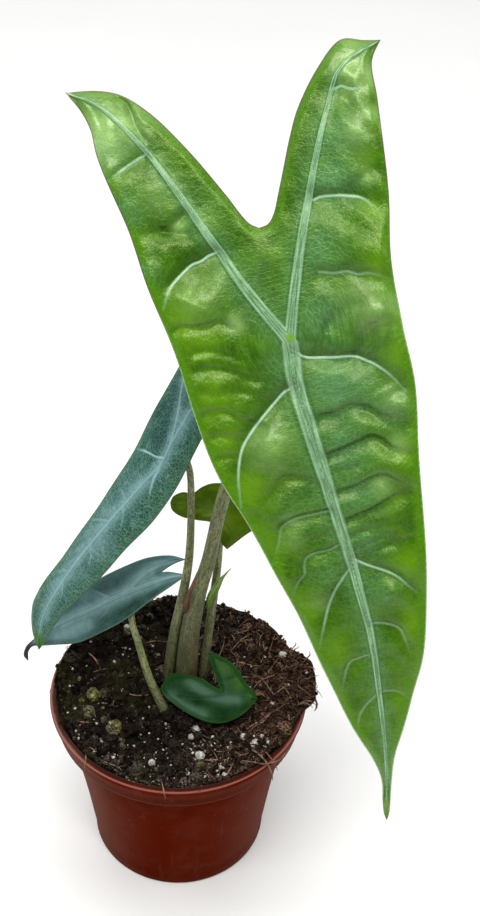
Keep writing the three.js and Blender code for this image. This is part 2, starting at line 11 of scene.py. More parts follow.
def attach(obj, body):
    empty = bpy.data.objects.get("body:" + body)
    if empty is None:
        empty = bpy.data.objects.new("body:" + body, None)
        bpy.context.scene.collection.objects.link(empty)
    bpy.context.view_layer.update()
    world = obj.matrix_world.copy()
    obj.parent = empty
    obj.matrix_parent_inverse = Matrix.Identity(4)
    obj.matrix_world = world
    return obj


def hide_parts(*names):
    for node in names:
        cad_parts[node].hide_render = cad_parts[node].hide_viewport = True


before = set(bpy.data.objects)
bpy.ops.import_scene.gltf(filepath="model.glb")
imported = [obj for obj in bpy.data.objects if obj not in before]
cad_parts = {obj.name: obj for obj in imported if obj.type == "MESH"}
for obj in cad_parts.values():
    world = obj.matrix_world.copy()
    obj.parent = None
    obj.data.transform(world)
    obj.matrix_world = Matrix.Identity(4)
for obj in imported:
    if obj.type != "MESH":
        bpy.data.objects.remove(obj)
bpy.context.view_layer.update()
mm = 0.001
random = np.random.default_rng(41)


def addObject(name, data):
    made = bpy.data.objects.new(name, data)
    bpy.context.scene.collection.objects.link(made)
    return made


# Camera, light and floor

studio = {
    "eye": (12.7, -234.7, 313.6), "lens": 58.95,
    "pitch": 39.8, "roll": -1.72,  # degrees: below the horizon, and turned
    "daylight": 0.14, "floor": (0.93, 0.93, 0.92), "floorPatches": (0.9, 0.9, 0.89), "floorHalf": 4000,
    "lamps": [
        # name, place, aim, width, height, watts, colour
        ("topLamp", (0, 320, 1050), (0, 230, 0), 900, 900, 8.8, (1, 1, 1)),
        ("skyLamp", (-60, -325, 738), (15, 0, 120), 700, 105, 4.4, (1, 0.995, 0.97)),
        ("sideLamp", (620, 0, 420), (15, 60, 40), 400, 400, 1, (0.97, 0.99, 1)),
        ("leftLamp", (-600, 60, 420), (15, 60, 40), 400, 400, 1, (0.97, 0.99, 1)),
    ],
}


def makeStudio():
    scene = bpy.context.scene
    scene.view_settings.view_transform = "Standard"
    pitch, roll = math.radians(studio["pitch"]), math.radians(studio["roll"])
    ahead = Vector((0, math.cos(pitch), -math.sin(pitch)))
    upright = Vector((0, math.sin(pitch), math.cos(pitch)))
    level = Vector((1, 0, 0))
    across = level * math.cos(roll) - upright * math.sin(roll)
    above = level * math.sin(roll) + upright * math.cos(roll)
    lens = bpy.data.cameras.new("photoCamera")
    lens.lens = studio["lens"]
    lens.clip_start = 0.01
    scene.camera = addObject("photoCamera", lens)
    turned = Matrix((across, above, -ahead)).transposed().to_4x4()
    scene.camera.matrix_world = Matrix.Translation(Vector(studio["eye"]) * mm) @ turned

    scene.world = bpy.data.worlds.new("daylight")
    scene.world.use_nodes = True
    sky = scene.world.node_tree.nodes["Background"].inputs
    sky["Strength"].default_value = studio["daylight"]
    sky["Color"].default_value = (1, 1, 1, 1)
    for name, place, aim, width, height, watts, colour in studio["lamps"]:
        lamp = bpy.data.lights.new(name, "AREA")
        lamp.shape = "RECTANGLE"
        lamp.size = width * mm
        lamp.size_y = height * mm
        lamp.energy = watts
        lamp.color = colour
        holder = addObject(name, lamp)
        holder.location = Vector(place) * mm
        holder.rotation_mode = "QUATERNION"
        holder.rotation_quaternion = (Vector(aim) - Vector(place)).to_track_quat("-Z", "Y")


# Small maths

def smoothStep(t):
    t = np.clip(t, 0, 1)
    return t * t * (3 - 2 * t)


def bell(x):
    return np.exp(-np.square(x))


def unit(v):
    v = np.asarray(v, float)
    return v / np.linalg.norm(v, axis=-1, keepdims=True)


# A repeatable number from 0 to 1 for a cell of a grid, as in the part's source.
def chance(i, j):
    x = np.sin(i * 127.1 + j * 311.7) * 43758.5453
    return x - np.floor(x)


def noise(x, y):
    i, j = np.floor(x), np.floor(y)
    u, v = smoothStep(x - i), smoothStep(y - j)
    near = chance(i, j) * (1 - u) + chance(i + 1, j) * u
    far = chance(i, j + 1) * (1 - u) + chance(i + 1, j + 1) * u
    return 2 * (near * (1 - v) + far * v) - 1


def layered(x, y, octaves):
    return sum(noise(x * 2**k + 7.3 * k, y * 2**k - 3.1 * k) / 2**k for k in range(octaves))


# Evenly spaced points on a smooth curve through the given ones.
def smoothLine(points, steps):
    p = np.asarray(points, float)
    p = np.vstack([2 * p[0] - p[1], p, 2 * p[-1] - p[-2]])
    knot = np.maximum(np.linalg.norm(np.diff(p, axis=0), axis=1) ** 0.5, 1e-3)
    t = np.linspace(0, 1, 24, endpoint=False)[:, None]
    parts = []
    for i in range(1, len(p) - 2):
        a, b, c, d = p[i - 1 : i + 3]
        ka, kb, kc = knot[i - 1 : i + 2]
        leave = ((b - a) / ka - (c - a) / (ka + kb) + (c - b) / kb) * kb
        arrive = ((c - b) / kb - (d - b) / (kb + kc) + (d - c) / kc) * kb
        ends = (2 * t**3 - 3 * t**2 + 1) * b + (3 * t**2 - 2 * t**3) * c
        parts.append(ends + (t**3 - 2 * t**2 + t) * leave + (t**3 - t**2) * arrive)
    fine = np.vstack(parts + [p[-2:-1]])
    run = np.append(0, np.cumsum(np.linalg.norm(np.diff(fine, axis=0), axis=1)))
    at = np.linspace(0, run[-1], steps + 1)
    return np.column_stack([np.interp(at, run, fine[:, k]) for k in range(p.shape[1])])


def lengthOf(points):
    return np.linalg.norm(np.diff(points, axis=0), axis=1).sum()


# A list of values stretched evenly over some number of points.
def spaced(values, count):
    return np.interp(np.linspace(0, 1, count), np.linspace(0, 1, len(values)), values)


# Meshes: points in mm, faces as index tuples, marks as one value or vector for each point.

def makePiece(name, points, faces, material, replaced=(), marks=None, smooth=True):
    mesh = bpy.data.meshes.new(name)
    mesh.from_pydata((np.asarray(points) * mm).tolist(), [], faces)
    for label, values in (marks or {}).items():
        values = np.asarray(values, np.float32)
        kind, field = ("FLOAT", "value") if values.ndim == 1 else ("FLOAT_VECTOR", "vector")
        mesh.attributes.new(label, kind, "POINT").data.foreach_set(field, values.ravel())
    mesh.polygons.foreach_set("use_smooth", np.full(len(mesh.polygons), smooth))
    mesh.materials.append(material)
    mesh.validate()
    piece = addObject(name, mesh)
    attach(piece, "root")
    if replaced:
        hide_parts(*replaced)
    print(name, len(mesh.polygons), "faces")
    return piece


# Faces between rings of points, where the first and last ring are closed by fan or by one face.
def ringFaces(rings, sides, fan=False):
    index = np.arange(rings * sides).reshape(rings, sides)
    after = np.roll(index, -1, 1)
    faces = np.stack([index[:-1], after[:-1], after[1:], index[1:]], -1).reshape(-1, 4).tolist()
    if not fan:
        return faces + [index[0, ::-1].tolist(), index[-1].tolist()]
    bottom = rings * sides  # the two middle points stand behind the rings
    faces += [[bottom, b, a] for a, b in zip(index[0].tolist(), after[0].tolist())]
    return faces + [[bottom + 1, a, b] for a, b in zip(index[-1].tolist(), after[-1].tolist())]


# Node trees. A socket knows its tree, so a value made from sockets joins theirs.

def plug(socket, value):
    if isinstance(value, bpy.types.NodeSocket):
        socket.id_data.links.new(value, socket)
    else:
        socket.default_value = (*value, 1.0) if socket.type == "RGBA" and len(value) == 3 else value


def addNode(tree, kind, inputs=None, **settings):
    made = tree.nodes.new("ShaderNode" + kind)
    for label, value in settings.items():
        setattr(made, label, value)
    for label, value in (inputs or {}).items():
        plug(made.inputs[label], value)
    return made


def calc(operation, *values):
    tree = next(value.id_data for value in values if isinstance(value, bpy.types.NodeSocket))
    return addNode(tree, "Math", dict(enumerate(values)), operation=operation).outputs[0]


def times(a, b):
    return calc("MULTIPLY", a, b)


def plus(a, b):
    return calc("ADD", a, b)


def minus(a, b):
    return calc("SUBTRACT", a, b)


def larger(a, b):
    return calc("MAXIMUM", a, b)


# 0 below low and 1 above high, or the other way round where low is the larger.
def ease(value, low, high):
    inputs = {0: value, 1: low, 2: high}
    return addNode(value.id_data, "MapRange", inputs, interpolation_type="SMOOTHSTEP").outputs[0]


def mixColour(factor, a, b):
    return addNode(factor.id_data, "Mix", {0: factor, 6: a, 7: b}, data_type="RGBA").outputs[2]


def stretched(vector, scale):
    inputs = {0: vector, 1: scale}
    return addNode(vector.id_data, "VectorMath", inputs, operation="MULTIPLY").outputs[0]


def split(vector):
    return addNode(vector.id_data, "SeparateXYZ", {0: vector}).outputs


def cloudy(vector, scale, detail=2.0, roughness=0.5, distortion=0.0):
    inputs = {"Vector": vector, "Scale": scale, "Detail": detail}
    inputs.update({"Roughness": roughness, "Distortion": distortion})
    return addNode(vector.id_data, "TexNoise", inputs).outputs["Fac"]


# A mark that makePiece left on the points.
def mark(tree, name, output="Vector"):
    return addNode(tree, "Attribute", attribute_name=name).outputs[output]


# Shared effects, each a group. An input has a socket kind, or the number that it starts with.

def newGroup(name, inputs, outputs):
    group = bpy.data.node_groups.new(name, "ShaderNodeTree")
    for label, start in inputs.items():
        kind = start if isinstance(start, str) else "Float"
        socket = group.interface.new_socket(label, in_out="INPUT", socket_type="NodeSocket" + kind)
        if kind == "Float":
            socket.default_value = start
    for label, kind in outputs.items():
        group.interface.new_socket(label, in_out="OUTPUT", socket_type="NodeSocket" + kind)
    return group.nodes.new("NodeGroupInput").outputs, group.nodes.new("NodeGroupOutput").inputs


def useGroup(name, vector, **inputs):
    inputs = {"Vector": vector, **inputs}
    return addNode(vector.id_data, "Group", inputs, node_tree=bpy.data.node_groups[name]).outputs


def makeGroups():
    inputs = {"Vector": "Vector", "First": "Color", "Second": "Color", "Scale": 0.3, "Contrast": 0.15}
    given, result = newGroup("patchyTint", inputs, {"Colour": "Color"})
    broad = cloudy(given["Vector"], given["Scale"], 3.0, 0.6, 0.4)
    patches = ease(broad, minus(0.5, given["Contrast"]), plus(0.5, given["Contrast"]))
    plug(result["Colour"], mixColour(patches, given["First"], given["Second"]))

    outputs = {"Height": "Float", "Mask": "Float"}
    given, result = newGroup("fineGrain", {"Vector": "Vector", "Scale": 2.0}, outputs)
    grain = cloudy(given["Vector"], given["Scale"], 2.0, 0.55, 0.3)
    plug(result["Height"], grain)
    plug(result["Mask"], ease(grain, 0.45, 0.7))

    inputs = {"Vector": "Vector", "Scale": 0.8, "Width": 0.08, "Wander": 0.3}
    given, result = newGroup("veinNet", inputs, {"Mask": "Float"})
    tree = given["Vector"].id_data
    swirl = addNode(tree, "TexNoise", {"Vector": given["Vector"], "Scale": 1.1, "Detail": 2.0})
    push = {0: swirl.outputs["Color"], "Scale": given["Wander"]}
    push = addNode(tree, "VectorMath", push, operation="SCALE").outputs[0]
    moved = addNode(tree, "VectorMath", {0: given["Vector"], 1: push}, operation="ADD").outputs[0]
    inputs = {"Vector": moved, "Scale": given["Scale"]}
    cells = addNode(tree, "TexVoronoi", inputs, feature="DISTANCE_TO_EDGE")
    plug(result["Mask"], ease(cells.outputs["Distance"], given["Width"], 0.0))

    inputs = {"Vector": "Vector", "Scale": 1.0, "Width": 0.02}
    given, result = newGroup("hairLines", inputs, {"Mask": "Float"})
    wave = cloudy(given["Vector"], given["Scale"], 2.0, 0.45, 0.2)
    plug(result["Mask"], ease(calc("ABSOLUTE", minus(wave, 0.5)), given["Width"], 0.0))

    inputs = {"Vector": "Vector", "Scale": 2.0, "Amount": 0.45}
    given, result = newGroup("speckle", inputs, {"Mask": "Float"})
    fine = cloudy(given["Vector"], given["Scale"], 2.0, 0.6)
    low = minus(1.0, given["Amount"])
    plug(result["Mask"], ease(fine, low, plus(low, 0.1)))


def patchy(vector, first, second, scale, contrast):
    inputs = {"First": first, "Second": second, "Scale": scale, "Contrast": contrast}
    return useGroup("patchyTint", vector, **inputs)["Colour"]


def specked(vector, scale, amount):
    return useGroup("speckle", vector, Scale=scale, Amount=amount)["Mask"]


# A material, and the place of each spot in mm.
def newMaterial(name):
    material = bpy.data.materials.new(name)
    material.use_nodes = True
    tree = material.node_tree
    place = stretched(addNode(tree, "TexCoord").outputs["Object"], (1000.0, 1000.0, 1000.0))
    return material, tree, place


finishSockets = {
    "gloss": "Specular IOR Level", "glossTint": "Specular Tint",
    "coat": "Coat Weight", "coatRough": "Coat Roughness",
}


# The finish of a material, with a relief that is some mm deep.
def finish(material, colour, rough, relief, depth, **settings):
    shader = material.node_tree.nodes["Principled BSDF"].inputs
    bump = addNode(material.node_tree, "Bump", {"Height": relief, "Distance": depth * mm})
    plug(shader["Base Color"], colour)
    plug(shader["Roughness"], rough)
    plug(shader["Normal"], bump.outputs["Normal"])
    for label, value in settings.items():
        plug(shader[finishSockets[label]], value)
    return material


def makeFloor():
    material, tree, place = newMaterial("paleFloor")
    shader = tree.nodes["Principled BSDF"].inputs
    plug(shader["Base Color"], patchy(place, studio["floor"], studio["floorPatches"], 0.01, 0.4))
    plug(shader["Roughness"], 0.7)
    half = studio["floorHalf"] * mm
    mesh = bpy.data.meshes.new("paleFloor")
    corners = [(-half, -half, 0), (half, -half, 0), (half, half, 0), (-half, half, 0)]
    mesh.from_pydata(corners, [], [(0, 1, 2, 3)])
    mesh.materials.append(material)
    addObject("paleFloor", mesh)


# Leaf blades, drawn flat as in the part's source: (side, along) from the stem's joint.

bladeThickness = 0.8
betweenLobes = 0.3
faintest = 0.22  # creases with a paler line than this have none

greenLeaf = {
    "kind": "green", "joint": (21.5, -0.9, 148.2), "toTip": (0.22, -0.5, -0.84),
    "face": (-0.1, -0.87, 0.49), "bend": 0.0035, "fold": 0.08, "foldSoft": 3, "tip": (0.5, 109.5),
    "lobeLeft": (33.5, -53.7), "lobeRight": (-26.6, -51.3), "sinus": (1.8, -22),
    # Margins, from the tip or the notch to a lobe, and ribs, from the joint.
    "outerLeft": [
        (0.75, 107.5), (0.4, 103.5), (-0.3, 98), (0.6, 92), (4.4, 78), (7.6, 61.5), (11.5, 45.5),
        (15.3, 33), (19.5, 19.5), (21.7, 0.5), (24.6, -15), (26.3, -26), (29.6, -41), (30, -46),
        (31.3, -50),
    ],
    "outerRight": [
        (-0.35, 107.5), (-1.3, 103.5), (-2.7, 97.5), (-4.6, 91), (-10.1, 78), (-14.3, 67), (-18, 48),
        (-20.3, 26), (-22, 12), (-21.6, 0.6), (-21.6, -11.5), (-23.3, -24), (-24.2, -41), (-24.4, -48),
    ],
    "innerLeft": [(3.5, -23.2), (7, -29.5), (12.3, -38.6), (18.2, -46.8), (23.1, -51.2), (27.6, -52.9)],
    "innerRight": [
        (0, -22.4), (-1.4, -24.1), (-2.9, -27.6), (-6.9, -37.4), (-9.4, -42.5), (-14, -48.6), (-19.4, -53),
        (-23.5, -52),
    ],
    "ribMain": [
        (0.4, 9), (-0.6, 17), (-2.3, 33.5), (-3.6, 46.5), (-4.5, 60.5), (-3.8, 75), (-2.3, 91.5),
    ],
    "ribLeft": [(6.1, -10.8), (12.1, -23.6), (19.8, -39.3), (27.2, -49.4)],
    "ribRight": [(-3.2, -10.6), (-7.4, -22.9), (-14.2, -39.9), (-18.4, -47.6)],
    # Half widths of the ribs, from the joint to the end.
    "mainWidths": (1.85, 1.68, 1.44, 1.24, 0.96, 0.7, 0.5, 0.32, 0.12),
    "lobeWidths": (1.3, 1.08, 0.94, 0.76, 0.58, 0.4, 0.18), "ribRise": 0.25, "ribKeel": 0.7, "ribGlow": 0.6,
    "quilt": (7, 0.12, 1.3), "wave": (21, 0.5), "deepen": 2.1, "wrinkle": (2.6, 0.12), "rows": (200, 110),
    "columns": (44, 22), "innerShade": 0.42,
    # Raised panels that catch the sky: side, along, radius, rise.
    "swells": [
        (-19.8, -45.3, 4, 0.7), (-19.5, -37, 4, 0.9), (23, -44.5, 4, 0.8), (20.6, -32.5, 3, 0.4),
        (15.5, -9.5, 5, 1.2), (-16.8, -2.6, 3.8, 2), (-18, -13, 4, 0.9), (7.5, 19.5, 4.5, 1.9),
        (-18.5, 16, 3, 1.1), (-16, 27.5, 2.6, 1), (1, -17, 4, 0.3), (-13.5, 37.5, 2.5, 0.8),
        (-10, 53, 3, 1.2), (3.5, 49.5, 2.5, 0.8), (8.5, 31.5, 3, 1), (6, 58, 3, 0.8),
    ],
    # Side veins and creases: strength of the pale line, depth and spread of the valley, points.
    "veins": [
        (1, 0.7, 3.2, [
            (-0.7, 2.5), (-2.3, 3.7), (-7, 4.6), (-11.1, 5.1), (-13.6, 6.3), (-16.8, 8.8), (-19.7, 12.8)
        ]),
        (0.8, 0.45, 2.4, [(-3.9, 45.2), (-5.2, 46), (-7.9, 47.5), (-10.3, 48.7), (-12, 50), (-14.6, 53.3)]),
        (1, 0.8, 3.2, [
            (10.7, -18.9), (12.3, -18.6), (13.6, -17.9), (15.6, -17.5), (17.3, -16.5), (20.5, -13.9),
            (22.1, -10.9)
        ]),
        (1, 0.8, 3.4, [
            (1.9, 9.3), (3, 9.7), (6.4, 12.4), (10.4, 15.9), (13, 19), (14.7, 23.8), (15.4, 29.8)
        ]),
        (0.5, 0.35, 2, [
            (-2.8, 47.2), (-1.2, 48.9), (0.5, 50.8), (2, 53), (3.2, 55.4), (4.8, 59.2), (6, 62.4)
        ]),
        (0.8, 0.6, 3, [
            (-9.7, -25.2), (-10.5, -25.4), (-13.4, -25.1), (-16.1, -24.5), (-18, -23.8), (-20.4, -21.4)
        ]),
        (0.6, 0.4, 2.5, [(-17, -44.3), (-17.9, -44.5), (-19.5, -43.6), (-20.8, -43.3), (-21.6, -44)]),
        (0.35, 0.45, 2.2, [
            (-8.4, -11.6), (-10.8, -11), (-13.1, -10.9), (-15, -10), (-17.2, -9.8), (-20.4, -8.3)
        ]),
        (0.15, 0.35, 1.4, [(-16.8, -26.2), (-18.9, -27.4), (-20.6, -28.4), (-21.5, -28.6)]),
        (0.1, 0.45, 2, [(-5.3, 2.1), (-7, -0.8), (-9.1, -2.9), (-11.5, -4.2), (-12.9, -4.9)]),
        (0.15, 0.5, 1.8, [
            (-12.3, 4.9), (-13.5, 2.3), (-15, 0.6), (-16.7, -0.3), (-18, -0.4), (-19.5, -0.2)
        ]),
        (0.1, 0.3, 1.2, [(-14.7, 6.5), (-15.6, 4.7), (-16.9, 3.6), (-18.7, 3.3)]),
        (0.2, 0.6, 1.9, [
            (-3.3, 15.7), (-6.3, 15.4), (-9, 14.6), (-10.5, 14.8), (-12.6, 15.9), (-14.7, 17.4),
            (-19, 18.7)
        ]),
        (0.22, 0.8, 1.9, [
            (-3.6, 23.4), (-6.5, 22.7), (-9.6, 21.9), (-12, 21.3), (-13.4, 22), (-15.1, 23.6), (-18.7, 25)
        ]),
        (0.15, 0.65, 1.5, [
            (-4, 31), (-7, 30.5), (-9.8, 29.5), (-11.8, 29), (-13.3, 29.2), (-14.9, 30.3), (-16.3, 31.1)
        ]),
        (0.1, 0.25, 1.2, [(-4.2, 26.6), (-6.8, 26.2), (-9.2, 25.9), (-11.7, 25.3)]),
        (0.2, 0.7, 1.6, [(-4.6, 37), (-8.2, 36), (-10.7, 35.2), (-12.8, 34.2), (-15.4, 33), (-17.6, 32.7)]),
        (0.15, 0.45, 1.2, [(-4.7, 40.1), (-7, 39.4), (-10, 38.8), (-12.9, 38), (-15.4, 37.3)]),
        (0.15, 0.45, 1.2, [(-4.5, 42.9), (-7, 42.4), (-10, 41.4), (-13.2, 39.9), (-15, 39.4)]),
        (0.15, 0.45, 1.2, [
            (-5, 44.5), (-7.5, 44.2), (-10, 43.3), (-12.9, 42.4), (-15.4, 41.9), (-17.7, 41.9)
        ]),
        (0.6, 0.35, 1.8, [(21, -39.1), (22, -38.7), (23.7, -38), (25.4, -37.2), (27.5, -35.9)]),
        (0.1, 0.5, 1.3, [(15.2, -27.3), (16.8, -26.3), (18.1, -25.4), (19.7, -25.1), (21.6, -26.1)]),
        (0.1, 0.35, 1.3, [(15.6, -23.6), (17.4, -23.9), (19.2, -24.5), (21.3, -25), (23.1, -24.4)]),
        (0, 0.7, 0.9, [(23.3, -51), (22.2, -49.6), (21.8, -47.6), (21.3, -44.8), (20.5, -42.8)]),
        (0.2, 0.5, 1.2, [
            (22.6, -5), (20.4, -6.4), (17, -5.8), (15.1, -5.7), (13.3, -6.1), (11.8, -5.7), (10.8, -4.9),
            (9.6, -4.5), (8.4, -5.2)
        ]),
        (0.1, 0.28, 1.3, [(17.8, -1.2), (16.2, -1.2), (14.4, -0.8), (12, 0.3), (10, 1.8)]),
        (0.2, 0.36, 1.6, [
            (18.1, 2.2), (16.5, 2.1), (14.1, 2.9), (11.4, 3.9), (9.3, 5.1), (7.4, 6.4), (4.9, 7.5)
        ]),
        (0.2, 0.24, 1.2, [
            (18.1, 6.3), (16.5, 7.3), (14.8, 7.6), (13.4, 7.1), (11.1, 7.7), (8.5, 9), (5.9, 10.7)
        ]),
        (0.15, 0.4, 1.4, [
            (19.2, 10.9), (17.6, 10.6), (15.7, 10.7), (13.6, 11.9), (11.3, 13.6), (9.1, 15.2)
        ]),
        (0.1, 0.3, 1.2, [(19.2, 15.8), (17.4, 15.4), (15.5, 15.8), (13, 17)]),
        (0.05, 0.25, 1.1, [(18.3, 20), (16.8, 19.5), (15.3, 19.8), (13.9, 20.7)]),
        (0.15, 0.45, 1.9, [
            (-0.1, 28.5), (2.2, 27.1), (4.6, 26.4), (6.6, 26.4), (8, 27.6), (10, 29.7), (12.5, 32.3)
        ]),
        (0.23, 0.6, 1.8, [
            (-1.1, 34.5), (1.1, 34.6), (5.3, 34.8), (7.4, 35.4), (8.8, 36.4), (9.5, 38.4), (10.4, 40.5),
            (11.6, 42.6)
        ]),
        (0.23, 0.5, 1.5, [
            (-1.4, 41.8), (0.1, 42.4), (3.8, 42.7), (5.2, 43.5), (5.8, 44.9), (5.9, 46.2), (7.7, 48),
            (9.7, 51.4)
        ]),
        (0.05, 0.25, 1.1, [(-1.6, 38.6), (1.1, 38.8), (3.6, 39.4), (5.8, 40.6)]),
        (0.05, 0.2, 0.8, [(-1.3, 48.3), (1.2, 48), (3.7, 48.2)]),
        (0.05, 0.2, 0.8, [(-0.4, 49.9), (2.5, 49.3), (5.3, 48.5)]),
        (0.05, 0.2, 0.8, [(0.2, 51.3), (3.4, 50.9), (6.4, 50.9)]),
        (0.28, 0.3, 1.2, [(-2.7, 66.4), (-1, 66.9), (0.6, 67.3), (1.7, 68.8), (2.4, 70.5), (3.6, 73.7)]),
        (0.28, 0.25, 1.2, [(-2.7, 76.4), (-1.6, 77.2), (0.2, 78.9), (1.4, 80.9), (2.1, 83.6)]),
        (0.3, 0.35, 1.5, [
            (-5, 59.3), (-6.8, 59.5), (-8.7, 60.1), (-10.3, 61.2), (-10.9, 63.1), (-11.5, 66.9)
        ]),
        (0.24, 0.25, 1.2, [(-4.2, 75.3), (-6, 75.4), (-7.9, 76.1), (-9.1, 77.4)]),
        (0.1, 0.2, 1, [(-4.7, 66.7), (-6.7, 66.7), (-8.5, 67.7)]),
    ],
    # Soft patches of the tints: side, along, radius, amount.
    # Cool is the blade's bluish tint and in part painted sheen; dark is painted shade.
    "cool": [
        (-7, 10, 8, 0.85), (-6.5, 22, 5.5, 0.75), (-7.5, 32, 4.6, 0.65), (-7, 42, 4, 0.55),
        (-7.5, 52, 4.2, 0.5), (-13, -28, 5.5, 0.8), (-8, -16, 5.5, 0.7), (-7, -4, 5, 0.7),
        (-15, -36, 5, 0.7), (28, -42, 5, 0.9), (27, -30, 4, 0.7), (25, -18, 3, 0.6), (3, 33, 5, 0.3),
        (1, 47, 4, 0.4), (-16, 16, 5, 0.4), (10, -28, 5, 0.25), (6, -12, 5, 0.35),
    ],
    "warm": [
        (20, -7, 5, 0.8), (16.5, -3, 4, 0.7), (16, 9, 5, 0.7), (15.5, 17, 4, 0.7), (13.5, 27, 4, 0.9),
        (12, 39, 4, 0.8), (8.5, 54, 4, 0.8), (4, 64, 4, 0.6), (-21, -30, 3, 0.8), (-21, -21, 3, 0.8),
        (-19, -11, 3, 0.8), (-20, 6, 3, 0.9), (-18.5, 25, 3, 0.9), (-15, 47, 3.5, 0.9), (-13, 60, 4, 0.9),
        (-8, 78, 4, 0.7), (-11, 22, 3, 0.4), (-13, 34, 3, 0.5),
    ],
    "dark": [
        (20.5, -38, 3, 0.7), (17, -30, 3, 0.5), (-18, -30, 2, 0.5), (11, 2, 4, 0.4), (-4, 22, 3, 0.3),
        (9.8, -34.1, 3.5, 0.6), (12.5, -39, 3, 0.6), (7.2, -28.3, 3.5, 0.6), (5.2, -23.7, 3, 0.5),
        (16, -44, 3, 0.5), (-9.4, -40.1, 3, 0.6), (-6.2, -33.3, 3.2, 0.6), (-3.2, -27.5, 3, 0.6),
        (-13, -45.5, 3, 0.5), (-9, 59, 3.4, 1.3), (-5, 76, 3, 0.8), (-18.5, -19, 2.5, 0.5),
        (-16.2, -49.6, 1.8, 1), (-23.2, -41, 1.8, 1.3), (-23.3, -33, 2.4, 1.5), (-22.5, -28, 2.4, 1.5),
        (-22, -23, 2.2, 1.2), (-21.5, -18, 2, 0.9),
    ],
    # Painted highlights: pale patches under the highlights that the photo shows.
    "paintedHighlight": [
        (27.8, -45, 5.5, 1.05), (24, -47.5, 3, 0.5), (-21.3, -45, 3.6, 0.8), (-22.4, -38.5, 2, 0.6),
        (-20, -27.4, 1.5, 0.6), (-17, -3, 4.2, 0.5), (-13.5, -7, 3, 0.4), (15.5, -11, 4.5, 0.3),
        (9.4, -5.2, 1.7, 0.9), (16.7, -24.8, 1.4, 0.8), (-16.9, 23, 2, 0.5), (-12.5, 30.5, 2.4, 0.5),
        (-17.5, 14.5, 2.6, 0.35), (6.6, 34.7, 1.5, 0.5), (4.3, 53.2, 2, 0.2), (7.5, 19, 4.5, 0.5),
        (1, -17, 4, 0.1), (-19.3, -35.5, 2.6, 0.6), (7, 38.5, 2.6, 0.3), (-20, -48.8, 3.4, 0.9),
        (22.8, -45.5, 3.6, 1.1), (19.5, -31, 3.2, 0.35),
    ],
    "look": {
        "glossTint": (0.8, 1, 0.34), "deep": (0.014, 0.07, 0.002), "netAlongRibs": True, "grainScale": 1.3,
        "inner": (0.054, 0.16, 0.003), "innerDark": (0.022, 0.09, 0.002), "cool": (0.074, 0.215, 0.066),
        "warm": (0.11, 0.265, 0.002), "margin": (0.066, 0.2, 0.002), "marginWidth": 2,
        "edgeLine": (0.33, 0.5, 0.21), "edgeOld": (0.1, 0.095, 0.05), "net": (0.15, 0.33, 0.04),
        "netAmount": 0.18, "netScale": 0.9, "netStretch": (1, 0.28, 1), "vein": (0.42, 0.66, 0.46),
        "rib": (0.29, 0.49, 0.29), "ribDark": (0.09, 0.23, 0.095), "ribAmount": 0.9,
        "under": (0.16, 0.28, 0.07), "rough": 0.24, "grain": 0.085, "gloss": 0.38,
        "paintedHighlight": (0.29, 0.49, 0.15), "coat": 0.7, "coatRough": 0.22,
        # Coloured ends: side, along, radius, colour.
        "ends": [
            (-0.3, -0.6, 1.3, (0.17, 0.37, 0.03)), (0.2, 107.5, 6, (0.15, 0.29, 0.06)),
            (33.4, -53.6, 1.6, (0.33, 0.42, 0.3)),
        ],
    },
    "stem": {
        "route": [
            (1.3, 2, 39.5), (1.6, 2, 50), (2.5, 3, 63.7), (4, 3.2, 74.2), (6.5, 3, 86.3), (9.1, 1.8, 103.5),
            (14.6, 2.4, 127), (20, 3.4, 143.5),
        ],
        "radii": (2.5, 2.45, 2.1, 1.6, 1.45, 1.4, 1.35, 1.3, 1.2), "rings": 260, "sides": 40,
        "groove": 0.14,
        # Rusty streaks: radius, strength, route.
        "rust": [
            (0.7, 1, [(3.2, 1.4, 80), (4.2, 1.1, 84.6), (5.2, 1.2, 88.5), (6.3, 1, 92.5)]),
            (0.9, 0.6, [(3.2, -0.2, 48), (3.4, 0.2, 56), (3.8, 0.8, 64)]),
            (0.5, 0.8, [(4, 1, 48), (4.4, 1.6, 56), (4.6, 2, 62)]),
        ],
    },
}
